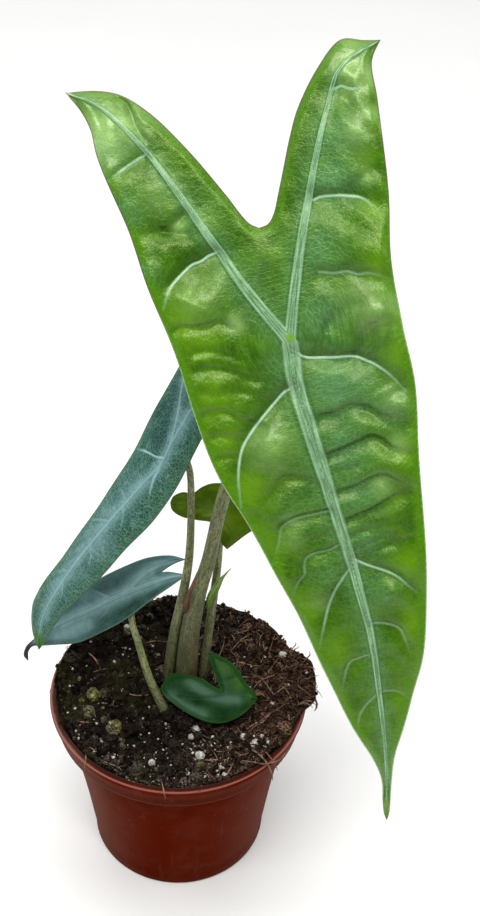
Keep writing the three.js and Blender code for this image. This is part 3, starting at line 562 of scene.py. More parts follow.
silverLeaf = {
    "kind": "silver", "joint": (-1.7, 5.5, 116.2), "toTip": (-0.515, -0.192, -0.836),
    "face": (-0.436, -0.78, 0.448), "bend": 0.004, "fold": -0.35, "foldSoft": 2, "tip": (1.1, 65.3),
    "lobeLeft": (10.4, -25), "lobeRight": (-2.6, -22.5), "sinus": (4.2, -13.5),
    "outerLeft": [
        (5, 63.7), (8.7, 59), (9.2, 54), (7.9, 40.5), (6.7, 22.5), (6.8, 7.5), (8.4, -4), (9.3, -13),
    ],
    "outerRight": [
        (0.6, 61), (0.5, 53), (-1.4, 44), (-3.1, 35), (-4.2, 26), (-5.7, 16.5), (-5.8, 8.5), (-5.2, 1.5),
        (-4, -8),
    ],
    "innerLeft": [(6.4, -17.5), (8.4, -21.5)], "innerRight": [(2.4, -17), (0.2, -20.2)],
    "ribMain": [(-0.5, 4), (0.3, 11), (2.2, 25), (3.7, 37), (4.5, 49), (4.1, 57)],
    "ribLeft": [(2.3, -5.9), (5.4, -10.8), (8.3, -18)], "ribRight": [(0.4, -5.3), (0.6, -10), (-0.7, -16)],
    "mainWidths": (0.3, 0.3, 0.32, 0.34, 0.34, 0.3, 0.2, 0.06), "lobeWidths": (0.3, 0.3, 0.25, 0.2),
    "ribRise": 0.15, "ribKeel": 0.5, "ribGlow": 0.6, "quilt": (6.5, 0.14, 1.2), "wave": (16, 0.15),
    "deepen": 1.3, "wrinkle": (2.4, 0.05), "rows": (130, 50), "columns": (26, 10),
    "veins": [
        (0.9, 0.35, 2.2, [(0.2, 3.4), (1.2, 4.1), (2.6, 4.6), (4.4, 5.4), (6.4, 6.7)]),
        (0.7, 0.3, 1.8, [(-0.7, 5.3), (-1, 7.9), (-1.6, 10.2), (-2.5, 12.6)]),
        (0.4, 0.2, 1.6, [(2.7, 23.9), (4.6, 25.5), (6.2, 27.2)]),
        (0.3, 0.15, 1.4, [(1.2, 16.5), (3.1, 16), (4.8, 15.9)]),
        (0.3, 0.15, 1.4, [(1.2, 17.9), (-0.2, 20.2), (-1.3, 23)]),
        (0.3, 0.15, 1.4, [(2.8, 31.7), (1.3, 33.5), (0.5, 35.8)]),
        (0.3, 0.1, 1.2, [(4.4, 41.4), (5.8, 43), (6.8, 45.2)]),
        (0.3, 0.1, 1.2, [(4.4, 44.8), (3, 46.5), (2.2, 48.9)]),
    ],
    "cool": [(3, 30, 4.5, 0.45), (4.4, 22, 3.5, 0.3), (4.4, 40, 3.5, 0.3), (3.4, 14, 2.6, 0.2)],
    # Warm patches: greener colour, and painted shade where the blade rolls away on the right.
    "warm": [
        (2.1, 64, 5, 1), (-4.5, 4, 2.8, 0.9), (-4.8, 12, 3, 1), (-4.4, 24, 3, 1), (-3.2, 33, 3, 1),
        (-1.8, 43, 2.6, 0.7), (-0.2, 54, 3, 0.8), (-4.5, 0, 2.6, 0.5), (8, 56, 3, 0.5),
    ],
    # Painted shade: side, along, radius, amount.
    "dark": [
        (3.6, 0.5, 3.4, 1.5), (5.7, -4, 4.5, 1.5), (5.4, -9, 4, 1.3), (2, 6.2, 1.6, 1),
        (4.5, 8.5, 2.4, 0.8), (6.2, 14, 2, 0.4), (-3.6, 2, 2, 0.6),
    ],
    # Painted sheen: pale streaks, as amount, radius, points.
    "sheen": [
        (0.5, 1.7, [(0.6, 11), (1.8, 18), (2.9, 24), (3.6, 30), (4.4, 37), (5, 44), (4.8, 50), (4.2, 56)]),
    ],
    "look": {
        "glossTint": (0.8, 0.95, 1), "deep": (0.01, 0.042, 0.034), "inner": (0.04, 0.116, 0.094),
        "innerDark": (0.022, 0.076, 0.058), "cool": (0.235, 0.41, 0.43), "warm": (0.024, 0.085, 0.026),
        "margin": (0.045, 0.125, 0.07), "edgeLine": (0.07, 0.15, 0.1), "net": (0.17, 0.34, 0.28),
        "netAmount": 0.6, "netScale": 1.45, "netStretch": (1, 0.75, 0), "vein": (0.31, 0.52, 0.54),
        "rib": (0.3, 0.49, 0.52), "ribDark": (0.22, 0.4, 0.42), "ribAmount": 0.55,
        "under": (0.12, 0.2, 0.12), "grain": 0.08, "gloss": 0.1, "crinkle": 0.6,
        "ends": [(2, 64.6, 4.5, (0.05, 0.15, 0.022))],
    },
    "stem": {
        "route": [
            (-2.8, 3.1, 39.5), (-2.4, 3.2, 50), (-1.1, 4, 62), (0.7, 5, 73), (2.1, 5.2, 84.6),
            (2.5, 5.6, 100), (1.9, 6.6, 110),
        ],
        "radii": (1.3, 1.3, 1.2, 1, 0.85, 0.75, 0.7), "rings": 200, "sides": 32, "groove": 0.12,
    },
}
lowLeaf = {
    "kind": "low", "joint": (-12.1, 8.5, 69.9), "toTip": (-0.699, -0.19, -0.689),
    "face": (-0.476, -0.595, 0.647), "bend": 0.006, "fold": -0.08, "foldSoft": 2, "tip": (5.2, 33.6),
    "lobeLeft": (-2.9, -16.4), "lobeRight": (-5.9, -14.6), "sinus": (-1.5, -9.8),
    "outerLeft": [
        (6.9, 34), (8.1, 32.2), (8.1, 28.6), (8.4, 24), (8.7, 18.4), (8.2, 9.5), (7.2, 3), (5.2, -3.8),
        (3.2, -9.2), (0.2, -13.8),
    ],
    "outerRight": [
        (6.3, 33.2), (7, 31.9), (6.9, 30.2), (5.4, 28), (2.3, 23.2), (-0.7, 18.5), (-2.1, 14.5),
        (-3.9, 7.8), (-4.8, 1.7), (-5.3, -7.3),
    ],
    "innerLeft": [(-1.7, -12.4), (-2.2, -14.6)], "innerRight": [(-2.6, -11.4), (-4.2, -13)],
    "ribMain": [(1.5, 4.8), (2.6, 9.6), (4.3, 15), (5.7, 19.7), (6.7, 25), (7.2, 30), (7.1, 32.2)],
    "ribLeft": [(0.4, -3.5), (0.2, -8), (-0.9, -12)], "ribRight": [(-1.1, -3.2), (-2.5, -6.9), (-4, -11)],
    "mainWidths": (0.5, 0.55, 0.5, 0.4, 0.3, 0.15), "lobeWidths": (0.5, 0.5, 0.4, 0.3), "ribRise": 0.15,
    "ribKeel": 0.4, "ribGlow": 0.8, "quilt": (5.5, 0.1, 1), "wave": (12, 0.15), "deepen": 1.3,
    "wrinkle": (2.4, 0.04), "rows": (90, 36), "columns": (22, 8),
    "veins": [
        (0.5, 0.3, 2, [(0.6, 2.7), (2.4, 4.9), (4.6, 6.2), (6.4, 7.5)]),
        (0.25, 0.15, 1.5, [(1, 4.5), (0.2, 5.7), (-0.3, 7.4), (-0.4, 9.5)]),
        (0.25, 0.15, 1.5, [(2.4, 8.3), (4.2, 9.9), (6.1, 10.9)]),
        (0.25, 0.1, 1.2, [(2.9, 10.1), (2.3, 11.9), (2.2, 14.2)]),
    ],
    "cool": [
        (1.6, 16.5, 4.5, 0.6), (3.6, 22, 4, 0.5), (5, 10, 3, 0.35), (-2.8, -10, 3, 0.5), (6.5, 19, 4, 0.35),
    ],
    # Painted shade: the dark green warm patches on the right, and the dark ones.
    "warm": [(-4, 0.4, 2.5, 1), (-4.4, 4, 2.5, 1), (-4.8, -4, 2.5, 1), (-3.5, 7.5, 2, 0.8)],
    "dark": [
        (3.1, 1.1, 2, 1), (3.9, 3.6, 2, 0.9), (-3.4, 10, 2, 0.7), (-0.6, 16, 1.6, 0.4),
        (6.5, 1.5, 1.6, 0.6), (-4.8, -1, 2.3, 1.5), (-4.8, 2.5, 2.3, 1.5), (-5.2, -5, 1.9, 1.3),
        (-4, 6, 1.9, 1),
    ],
    # Painted sheen: pale streaks, as amount, radius, points.
    "sheen": [
        (1, 1.8, [(0, 0), (1.5, 4.8), (2.6, 9.6), (3.9, 14), (5.2, 19)]),
        (0.8, 2.4, [(1, 13), (2.4, 18), (3.8, 22)]),
    ],
    "look": {
        "glossTint": (0.8, 0.95, 1), "deep": (0.011, 0.032, 0.022), "inner": (0.056, 0.125, 0.12),
        "innerDark": (0.028, 0.07, 0.066), "cool": (0.2, 0.345, 0.35), "warm": (0.008, 0.038, 0.014),
        "margin": (0.04, 0.1, 0.088), "edgeLine": (0.1, 0.18, 0.16), "net": (0.13, 0.23, 0.22),
        "netAmount": 0.22, "netScale": 1.7, "netStretch": (1, 0.7, 0), "vein": (0.24, 0.39, 0.38),
        "rib": (0.23, 0.39, 0.38), "ribDark": (0.16, 0.29, 0.28), "ribAmount": 0.5,
        "under": (0.1, 0.17, 0.11), "grain": 0.05, "gloss": 0.1,
        "ends": [(5.6, 33.4, 6, (0.03, 0.03, 0.028))],
    },
    "stem": {
        "route": [
            (-2, -6.6, 40), (-2.9, -6.2, 46.6), (-4.6, -4.6, 49.8), (-6.7, -2.9, 54.5), (-9.2, 1.4, 60.6),
            (-11, 5.4, 64.6),
        ],
        "radii": (1.15, 1.1, 0.95, 0.85, 0.75, 0.7), "rings": 110, "sides": 28, "groove": 0.1,
    },
}
backLeaf = {
    "kind": "back", "joint": (8, 10.5, 94.9), "toTip": (-0.997, 0, 0.073), "face": (0.039, -0.849, 0.527),
    "bend": 0.012, "fold": 0.15, "foldSoft": 1, "tip": (0.2, 10.3), "lobeLeft": (5, -10),
    "lobeRight": (-8.8, -2.9), "sinus": (-0.6, -6.6),
    "outerLeft": [(1.6, 9.8), (2.8, 7.8), (2.8, 5.6), (4.4, 3.7), (5.4, 1.6), (5.6, -4.5)],
    "outerRight": [(-1.3, 9.8), (-2.6, 7.6), (-3, 4), (-3.4, 0.8), (-5.4, -0.9), (-7.6, -1.7)],
    "innerLeft": [(1.6, -7.2), (3.6, -9.4)], "innerRight": [(-2.2, -8), (-3.6, -8.6), (-6, -6)],
    "ribMain": [(0.1, 3.5), (0.3, 7)], "ribLeft": [(1.6, -3.4), (3.4, -7)],
    "ribRight": [(-2.4, -1.9), (-5.6, -3.6)], "mainWidths": (0.3, 0.25, 0.15),
    "lobeWidths": (0.3, 0.2, 0.1), "ribRise": 0.08, "ribKeel": 0.3, "ribGlow": 0.25, "quilt": (4, 0.08, 1),
    "wave": (7, 0.15), "deepen": 1, "wrinkle": (2, 0.05), "rows": (44, 40), "columns": (20, 12),
    "veins": [
        (0.3, 0.12, 1, [(-0.1, 0.7), (1.6, 1.7), (3.4, 2.5)]),
        (0.3, 0.12, 1, [(0.2, 3.5), (-0.9, 4.6), (-1.9, 5.2)]),
        (0.25, 0.1, 1, [(0.2, 3.2), (1.4, 4.4), (2.2, 5)]),
    ],
    "cool": [(-1.2, 1, 1.8, 0.5), (2.9, 7.6, 1.4, 0.5)],
    "warm": [(2.5, 1.5, 3, 0.9), (-6, -3, 3, 0.8), (3, -4, 3, 0.8)],
    # Painted shade: side, along, radius, amount.
    "dark": [(2.7, 2.2, 2, 0.6), (-0.5, -4, 2.4, 0.8), (-6.8, -2.3, 2, 0.6)],
    "look": {
        "glossTint": (0.85, 1, 0.4), "deep": (0.03, 0.07, 0.001), "inner": (0.128, 0.228, 0.005),
        "innerDark": (0.08, 0.158, 0.002), "cool": (0.16, 0.23, 0.05), "warm": (0.07, 0.15, 0.001),
        "margin": (0.085, 0.165, 0.004), "edgeLine": (0.06, 0.11, 0.01), "net": (0.12, 0.19, 0.03),
        "netAmount": 0.2, "netScale": 1.6, "netStretch": (1, 0.5, 0), "vein": (0.14, 0.22, 0.05),
        "rib": (0.14, 0.22, 0.05), "ribDark": (0.09, 0.16, 0.025), "ribAmount": 0.5,
        "under": (0.13, 0.19, 0.06), "grain": 0.05, "gloss": 0.15,
    },
    "stem": {
        "route": [
            (5.4, 3.6, 40), (5.6, 3.8, 48), (6.9, 6.5, 63.2), (7.6, 7.9, 70), (8.6, 10, 82),
            (8.7, 11.8, 90.5),
        ],
        "radii": (1.1, 1.1, 1, 0.95, 0.8, 0.65), "rings": 140, "sides": 28, "groove": 0.1,
    },
}
groundLeaf = {
    "kind": "ground", "joint": (11.1, -4.8, 51.5), "toTip": (0.981, -0.17, -0.09),
    "face": (0.002, -0.459, 0.888), "bend": 0.012, "fold": 0.12, "foldSoft": 1, "tip": (-0.6, 7.3),
    "lobeLeft": (1.9, -15.1), "lobeRight": (-8.2, -6), "sinus": (-0.7, -1.5),
    "outerLeft": [(1.6, 6.3), (4, 4.7), (6.7, 1.4), (7.6, -2), (6.9, -6.2), (4.8, -11.4), (3.4, -13.8)],
    "outerRight": [(-1.6, 6.6), (-3.5, 3.9), (-6.3, 1.2), (-7.9, -2.2), (-8.4, -4.8)],
    "innerLeft": [(-1.2, -3.4), (-2.2, -6), (-2.4, -9.8), (-2.3, -12.6), (-0.6, -14.4)],
    "innerRight": [(-2.2, -2.4), (-4.3, -3.9), (-6.6, -5.3)], "ribMain": [(-0.1, 2.4), (-0.4, 4.9)],
    "ribLeft": [(1.2, -3.6), (2.3, -7.4), (2.3, -11.6)], "ribRight": [(-2.4, -0.9), (-5, -2.8)],
    "mainWidths": (0.25, 0.2, 0.1), "lobeWidths": (0.25, 0.2, 0.1), "ribRise": 0.05, "ribKeel": 0.2,
    "ribGlow": 0.3, "quilt": (5, 0.1, 1), "wave": (8, 0.25), "deepen": 1, "wrinkle": (2, 0.05),
    "rows": (44, 60), "columns": (24, 16),
    "veins": [
        (0, 0.9, 1.3, [(1.6, -1.6), (2.4, -4.6), (2.9, -8), (2.6, -11.4)]),
        (0.25, 0.2, 1, [(1, -3.2), (-0.4, -6.5), (-0.7, -9.5)]),
        (0.25, 0.2, 1, [(-2.4, -0.9), (-3.4, 1), (-4.2, 2.2)]),
    ],
    "warm": [(-5.5, -1.5, 2.6, 0.8), (-3, 2.5, 2.2, 0.9), (-0.7, 6.2, 1.6, 1), (-7, -4, 2, 0.8)],
    # Painted shade: side, along, radius, amount.
    "dark": [
        (2.6, -10.2, 1.1, 1.4), (3.4, -6, 1.2, 1.5), (5.1, 0.2, 1.8, 1.4), (2.8, 2.8, 1.2, 1.2),
        (-1.9, -1.8, 1.1, 0.9),
    ],
    # Painted sheen: pale streaks, as amount, radius, points.
    "sheen": [
        (1, 1.25, [(-0.6, -8.6), (0.4, -6), (1.1, -3.5), (1.4, -1.8), (1.3, 0.8), (1.1, 2.8)]),
        (0.85, 1.3, [(3.2, -12.2), (5, -8), (6.1, -3.9)]),
    ],
    "look": {
        "glossTint": (0.6, 1, 0.75), "deep": (0.002, 0.014, 0.002), "inner": (0.007, 0.038, 0.007),
        "innerDark": (0.003, 0.022, 0.004), "cool": (0.052, 0.108, 0.068), "warm": (0.034, 0.09, 0.011),
        "margin": (0.01, 0.044, 0.005), "marginWidth": 0.4, "edgeLine": (0.016, 0.056, 0.014),
        "net": (0.03, 0.08, 0.03), "netAmount": 0.15, "netScale": 1.6, "netStretch": (1, 0.5, 0),
        "vein": (0.045, 0.11, 0.05), "rib": (0.045, 0.11, 0.05), "ribDark": (0.02, 0.07, 0.026),
        "ribAmount": 0.25, "under": (0.05, 0.1, 0.04), "rough": 0.4, "grain": 0.03, "gloss": 0.06,
    },
    "stem": {
        "route": [(7.4, -0.6, 42), (7.7, -0.9, 48), (9, -2.2, 49.6)], "radii": (0.55, 0.55, 0.5),
        "rings": 40, "sides": 20, "groove": 0.05,
    },
}
leaves = [greenLeaf, silverLeaf, lowLeaf, backLeaf, groundLeaf]
usualLook = {"grainScale": 2.0, "crinkle": 1.0, "marginWidth": 0.8, "rough": 0.5, "ends": []}


# A drawn line of a leaf: a rib from the joint, or a margin from the tip or the notch to a lobe.
def ribOf(leaf, hand, steps):
    end = leaf["tip"] if hand == "Main" else leaf["lobe" + hand]
    return smoothLine([(0, 0), *leaf["rib" + hand], end], steps)


def marginOf(leaf, part, hand, steps):
    start = leaf["tip"] if part == "outer" else leaf["sinus"]
    return smoothLine([start, *leaf[part + hand], leaf["lobe" + hand]], steps)


# The point of the plant for a point of the flat drawing, lifted off its face by height.
def lift(leaf, side, along, height):
    ahead = unit(leaf["toTip"])
    face = np.array(leaf["face"], float)
    face = unit(face - ahead * (face @ ahead))
    turn = leaf["bend"] * along
    folded = leaf["fold"] * (np.hypot(side, leaf["foldSoft"]) - leaf["foldSoft"]) + height
    forward = np.sin(turn) / leaf["bend"] + np.sin(turn) * folded
    out = (np.cos(turn) - 1) / leaf["bend"] + np.cos(turn) * folded
    axes = ((forward, ahead), (out, face), (side, np.cross(ahead, face)))
    return np.array(leaf["joint"]) + sum(np.outer(part, axis) for part, axis in axes)


# The blade drawn flat: columns side, along, reach, run and relief of each spot, and its faces.
def flatBlade(leaf):
    tipRows, lobeRows = leaf["rows"]
    outerColumns, innerColumns = leaf["columns"]
    mainRib = ribOf(leaf, "Main", tipRows)[::-1]
    step = lengthOf(mainRib) / tipRows
    spots, corners = [], []

    def patch(rib, margin, across, relief):
        reach = np.linspace(0, 1, across + 1)
        grid = rib[:, None] + (margin - rib)[:, None] * reach[None, :, None]
        shape = grid.shape[:2]
        run = np.broadcast_to(np.arange(shape[0])[:, None] * step, shape)
        columns = [grid[..., 0], grid[..., 1], np.broadcast_to(reach, shape), run, np.full(shape, relief)]
        first = sum(len(part) for part in spots)
        spots.append(np.stack([column.ravel() for column in columns], 1))
        index = first + np.arange(shape[0] * shape[1]).reshape(shape)
        quads = [index[:-1, :-1], index[1:, :-1], index[1:, 1:], index[:-1, 1:]]
        corners.append(np.stack([quad.ravel() for quad in quads], 1))

    for hand in ("Left", "Right"):
        lobeRib = ribOf(leaf, hand, lobeRows)
        share = lengthOf(mainRib) / (lengthOf(mainRib) + lengthOf(lobeRib))
        at = np.append(np.linspace(0, share, tipRows + 1), np.linspace(share, 1, lobeRows + 1)[1:])
        margin = marginOf(leaf, "outer", hand, 4000)[np.round(at * 4000).astype(int)]
        patch(np.vstack([mainRib, lobeRib[1:]]), margin, outerColumns, 1)
        patch(lobeRib, marginOf(leaf, "inner", hand, lobeRows), innerColumns, betweenLobes)

    # The four patches are welded, turned the same way up, and lose their flat faces.
    spots, corners = np.vstack(spots), np.vstack(corners)
    keys = np.round(spots[:, :2], 3) + 0.0
    _, kept, same = np.unique(keys, axis=0, return_index=True, return_inverse=True)
    spots, corners = spots[kept], same.ravel()[corners]
    a, b, c, d = (spots[corners[:, k], :2] for k in range(4))
    twice = (c - a)[:, 0] * (d - b)[:, 1] - (c - a)[:, 1] * (d - b)[:, 0]
    corners[twice < 0] = corners[twice < 0][:, ::-1]
    quads = corners[np.abs(twice) > 2e-5].tolist()
    faces = [[k for i, k in enumerate(quad) if k != quad[i - 1]] for quad in quads]
    return spots, [face for face in faces if len(set(face)) > 2]


# For each spot, the nearest point of some lines: offset to its left, distance, and its value.
def nearestOn(lines, spots, values=None):
    points = np.vstack(lines)
    normals = np.vstack([unit(np.gradient(part, axis=0)) @ np.array([[0, 1], [-1, 0]]) for part in lines])
    tree = KDTree(len(points))
    for i, (x, y) in enumerate(points):
        tree.insert((x, y, 0), i)
    tree.balance()
    found = np.array([tree.find((x, y, 0))[1:] for x, y in spots[:, :2]])
    index = found[:, 0].astype(int)
    offset = np.sum((spots[:, :2] - points[index]) * normals[index], 1)
    return offset, found[:, 1], None if values is None else np.concatenate(values)[index]


# The strongest of some soft round patches: side, along, radius, amount.
def patchesAt(side, along, patches):
    strongest = np.zeros(len(side))
    for x, y, radius, amount in patches:
        strongest = np.maximum(strongest, amount * bell(np.hypot(side - x, along - y) / radius))
    return strongest


# The skin of a blade: an upper and an under face, closed round the margin, and its marks.
def bladeShape(leaf):
    spots, faces = flatBlade(leaf)
    side, along, reach, run, relief = spots.T
    ribs = [ribOf(leaf, "Main", 300), ribOf(leaf, "Left", 200), ribOf(leaf, "Right", 200)]
    widths = (leaf["mainWidths"], leaf["lobeWidths"], leaf["lobeWidths"])
    widths = [spaced(given, len(rib)) for given, rib in zip(widths, ribs)]
    ribOffset, ribNear, ribHalf = nearestOn(ribs, spots, widths)
    margins = [marginOf(leaf, "outer", hand, 500) for hand in ("Left", "Right")]
    notch = [marginOf(leaf, "inner", hand, 250) for hand in ("Left", "Right")]
    edge = nearestOn(margins + notch, spots)[1]

    lines, strengths = [], []
    valley, shadow = np.zeros(len(spots)), np.zeros(len(spots))
    for pale, depth, width, points in leaf["veins"]:
        line = smoothLine(points, 60)
        fade = smoothStep((1 - np.linspace(0, 1, len(line))) / 0.45)
        if pale > faintest:
            lines.append(line)
            strengths.append(pale * (0.15 + 0.85 * fade))
        # A crease drops fast on the joint's side and rises slowly on the tip's side.
        gaps = np.hypot(side[:, None] - line[:, 0], along[:, None] - line[:, 1])
        nearest = gaps.argmin(1)
        far = gaps.min(1)
        deep = depth * (0.45 + 0.55 * fade[nearest])
        slope = np.clip((along - line[nearest, 1]) / np.maximum(far, 0.2), -1, 1)
        reachOf = width * (0.95 + 0.4 * slope)
        valley += deep * (0.74 * bell(far / reachOf) + 0.26 * bell(far / (0.45 * reachOf)))
        # Painted shade on the joint's side of each crease.
        shadow += deep * bell((far - 0.25 * width) / (0.45 * width)) * np.clip(-slope, 0, 1)
    veinOffset, veinNear, veinPale = nearestOn(lines, spots, strengths)

    # Height over the flat drawing. The two halves of a blade differ in their wrinkles.
    pitch, depth, sweep = leaf["quilt"]
    wavePitch, waveDepth = leaf["wave"]
    ridge = np.sin(2 * np.pi * (run / pitch + sweep * reach)) * np.sin(np.pi * reach)
    ripple = np.sin(2 * np.pi * run / wavePitch) * reach**3 * smoothStep(run / (2 * pitch))
    inside = smoothStep(edge / 1.9)
    height = relief * (depth * ridge + waveDepth * ripple)
    away = np.hypot(side, along) + 17 * (ribOffset > 0) * smoothStep((along - 2) / 15)
    crease, creaseDepth = leaf["wrinkle"]
    wrinkles = creaseDepth * layered(away / crease, ribNear / (6 * crease), 2)
    wrinkles *= smoothStep(ribNear / 4 - 0.3)
    height += (0.16 * layered(side / 5, along / 4, 3) + wrinkles - leaf["deepen"] * valley + 0.3) * inside
    height += leaf["ribRise"] * bell(ribNear / ribHalf) * inside
    for x, y, radius, rise in leaf.get("swells", []):
        height += rise * bell(np.hypot(side - x, along - y) / radius) * inside
    half = 0.5 * bladeThickness * (0.35 + 0.65 * smoothStep(edge / 1.2))
    top = lift(leaf, side, along, height + half)
    keel = leaf["ribKeel"] * bell(1.6 * ribNear / ribHalf) * inside
    under = lift(leaf, side, along, height - half - keel)

    count = len(spots)
    rim = set()
    for face in faces:
        for pair in zip(face[-1:] + face[:-1], face):
            if pair[::-1] in rim:
                rim.remove(pair[::-1])
            else:
                rim.add(pair)
    solid = faces + [[k + count for k in reversed(face)] for face in faces]
    solid += [[b, a, a + count, b + count] for a, b in sorted(rim)]

    # Painted shade: in the creases, along the notch and in the dark patches.
    if "innerShade" in leaf:
        shadow = np.maximum(shadow, leaf["innerShade"] * bell(nearestOn(notch, spots)[1] / 4))
    shadow = np.maximum(shadow, 0.5 * patchesAt(side, along, leaf["dark"]))
    # Painted sheen: the sheen streaks, as patches along their points, join the cool tint.
    streaks = [(x, y, radius, amount) for amount, radius, points in leaf.get("sheen", [])
               for x, y in smoothLine(points, 30)]
    cool = patchesAt(side, along, leaf.get("cool", []) + streaks)
    glow = leaf["ribGlow"] * np.minimum(1, ribHalf / 0.3)
    cool = np.maximum(cool, glow * bell(ribNear / (2.2 * ribHalf + 0.6)))
    warm = patchesAt(side, along, leaf["warm"])
    marks = {
        "flat": (side, along, shadow), "flow": (away, ribNear, edge), "rib": (ribOffset, ribNear, ribHalf),
        "vein": (veinOffset, veinNear, veinPale), "tint": (cool, warm, np.zeros(count)),
    }
    marks = {name: np.tile(np.stack(values, 1), (2, 1)) for name, values in marks.items()}
    marks["tint"][count:, 2] = 1
    marks["paintedHighlight"] = np.tile(patchesAt(side, along, leaf.get("paintedHighlight", [])), 2)
    return np.vstack([top, under]), solid, marks


def bladeMaterial(leaf):
    look = {**usualLook, **leaf["look"]}
    material, tree, place = newMaterial(leaf["kind"] + "LeafSkin")
    flow, flat = mark(tree, "flow"), mark(tree, "flat")
    rib, vein, tint, drawn = (split(mark(tree, name)) for name in ("rib", "vein", "tint", "flat"))
    edge = split(flow)["Z"]

    # Tints, from the inside to the margin, and the painted shade of creases and dark patches.
    wander = cloudy(place, 0.5, 3.0, 0.6)
    uneven = plus(0.55, wander)
    # The cool tint: the blade's bluish colour, and painted sheen along the sheen streaks.
    coolness = times(tint["X"], uneven)
    colour = patchy(place, look["inner"], look["innerDark"], 0.22, 0.2)
    colour = mixColour(times(tint["Y"], uneven), colour, look["warm"])
    colour = mixColour(coolness, colour, look["cool"])
    toMargin = ease(minus(edge, times(wander, 1.5)), look["marginWidth"], 0.2)
    colour = mixColour(times(toMargin, minus(1.0, tint["X"])), colour, look["margin"])
    darkening = times(ease(drawn["Z"], 0.0, 0.8), 0.66)
    colour = mixColour(darkening, colour, look["deep"])

    # The fine net between the veins, along the ribs or as it was drawn.
    lined = stretched(flow if look.get("netAlongRibs") else flat, look["netStretch"])
    net = useGroup("veinNet", lined, Scale=look["netScale"], Width=0.09)["Mask"]
    hairs = useGroup("hairLines", stretched(flow, (1.0, 0.16, 0.0)), Scale=0.7)["Mask"]
    web = times(larger(net, hairs), minus(1.0, times(darkening, 0.8)))
    thin = mixColour(coolness, look["net"], look["vein"])
    colour = mixColour(times(web, look["netAmount"]), colour, thin)

    crinkles = cloudy(stretched(flat, (0.7, 1.0, 0.0)), 0.9, 4.0, 0.65, 0.5)
    shine = {"gloss": look["gloss"], "glossTint": look["glossTint"]}
    # Painted highlights: pale colour in these patches, where the coat is heavier too.
    if "paintedHighlight" in look:
        paintedHighlight = times(times(mark(tree, "paintedHighlight", "Fac"), plus(0.3, crinkles)), minus(1.0, darkening))
        colour = mixColour(paintedHighlight, colour, look["paintedHighlight"])
        shine.update({"coat": times(plus(paintedHighlight, 0.12), look["coat"]), "coatRough": look["coatRough"]})

    # Pale side veins, then the ribs with grooves, light rails and painted shade beside them.
    pale = times(ease(calc("ABSOLUTE", vein["X"]), 0.42, 0.06), ease(vein["Y"], 1.1, 0.5))
    pale = times(pale, vein["Z"])
    colour = mixColour(pale, colour, look["vein"])
    across = calc("DIVIDE", rib["Y"], rib["Z"])
    band = times(ease(across, 1.0, 0.72), look["ribAmount"])
    grooves = ease(cloudy(stretched(flow, (0.06, 1.6, 0.0)), 2.2, 4.0, 0.6), 0.42, 0.6)
    rails = ease(calc("ABSOLUTE", minus(across, 0.7)), 0.3, 0.0)
    ribShade = ease(calc("ABSOLUTE", minus(across, 1.15)), 0.35, 0.0)
    colour = mixColour(times(ribShade, 0.35), colour, look["deep"])
    ribColour = mixColour(grooves, look["ribDark"], look["rib"])
    ribColour = mixColour(times(rails, 0.4), ribColour, look["vein"])
    colour = mixColour(band, colour, ribColour)

    # The thin rim, the under face and the coloured ends.
    rim = mixColour(ease(drawn["Y"], 4.0, -20.0), look["edgeLine"], look.get("edgeOld", look["edgeLine"]))
    colour = mixColour(ease(edge, 0.35, 0.1), colour, rim)
    under = patchy(place, look["under"], look["inner"], 0.15, 0.3)
    under = mixColour(times(band, 0.6), under, look["rib"])
    colour = mixColour(tint["Z"], colour, under)
    for x, y, radius, end in look["ends"]:
        inputs = {0: stretched(flat, (1.0, 1.0, 0.0)), 1: (x, y, 0)}
        gap = addNode(tree, "VectorMath", inputs, operation="DISTANCE").outputs["Value"]
        gap = plus(gap, times(wander, 0.8))
        colour = mixColour(ease(gap, radius + 0.4, 0.5 * radius), colour, end)

    grain = useGroup("fineGrain", stretched(flat, (0.8, 1.0, 0.0)), Scale=look["grainScale"])
    rough = plus(calc("MULTIPLY_ADD", grain["Mask"], 0.12, look["rough"]), times(tint["Z"], 0.2))
    relief = plus(grain["Height"], times(crinkles, look["crinkle"]))
    relief = plus(plus(relief, times(pale, 1.6)), times(web, -0.25))
    relief = plus(relief, times(times(grooves, band), 0.5))
    return finish(material, colour, rough, relief, look["grain"], **shine)


def makeBlade(leaf):
    points, faces, marks = bladeShape(leaf)
    kind, node = leaf["kind"], leaf["kind"] + "LeafBlade"
    makePiece(kind + "Leaf", points, faces, bladeMaterial(leaf), (node,), marks)


# Stems: a skin swept along the part's own routes, wider and grooved at the sheath.

stemLook = {
    "pale": (0.31, 0.335, 0.145), "olive": (0.125, 0.15, 0.042), "speck": (0.032, 0.03, 0.01),
    "foot": (0.04, 0.038, 0.018), "footShare": 0.62, "rust": (0.13, 0.04, 0.018),
    "speckScale": 2.8, "speckAmount": 0.5, "rough": 0.5, "grain": 0.06,
}
squareEnd = 1.6  # length of a stem's end square to its blade, over its radius
touch = 0.3


def routeOf(leaf):
    stem = leaf["stem"]
    end = -(bladeThickness / 2 + leaf["ribKeel"] + touch)
    behind = [end - squareEnd * stem["radii"][-1], end]
    zero = np.zeros(1)
    return [*stem["route"], *(lift(leaf, zero, zero, np.array([depth]))[0] for depth in behind)]


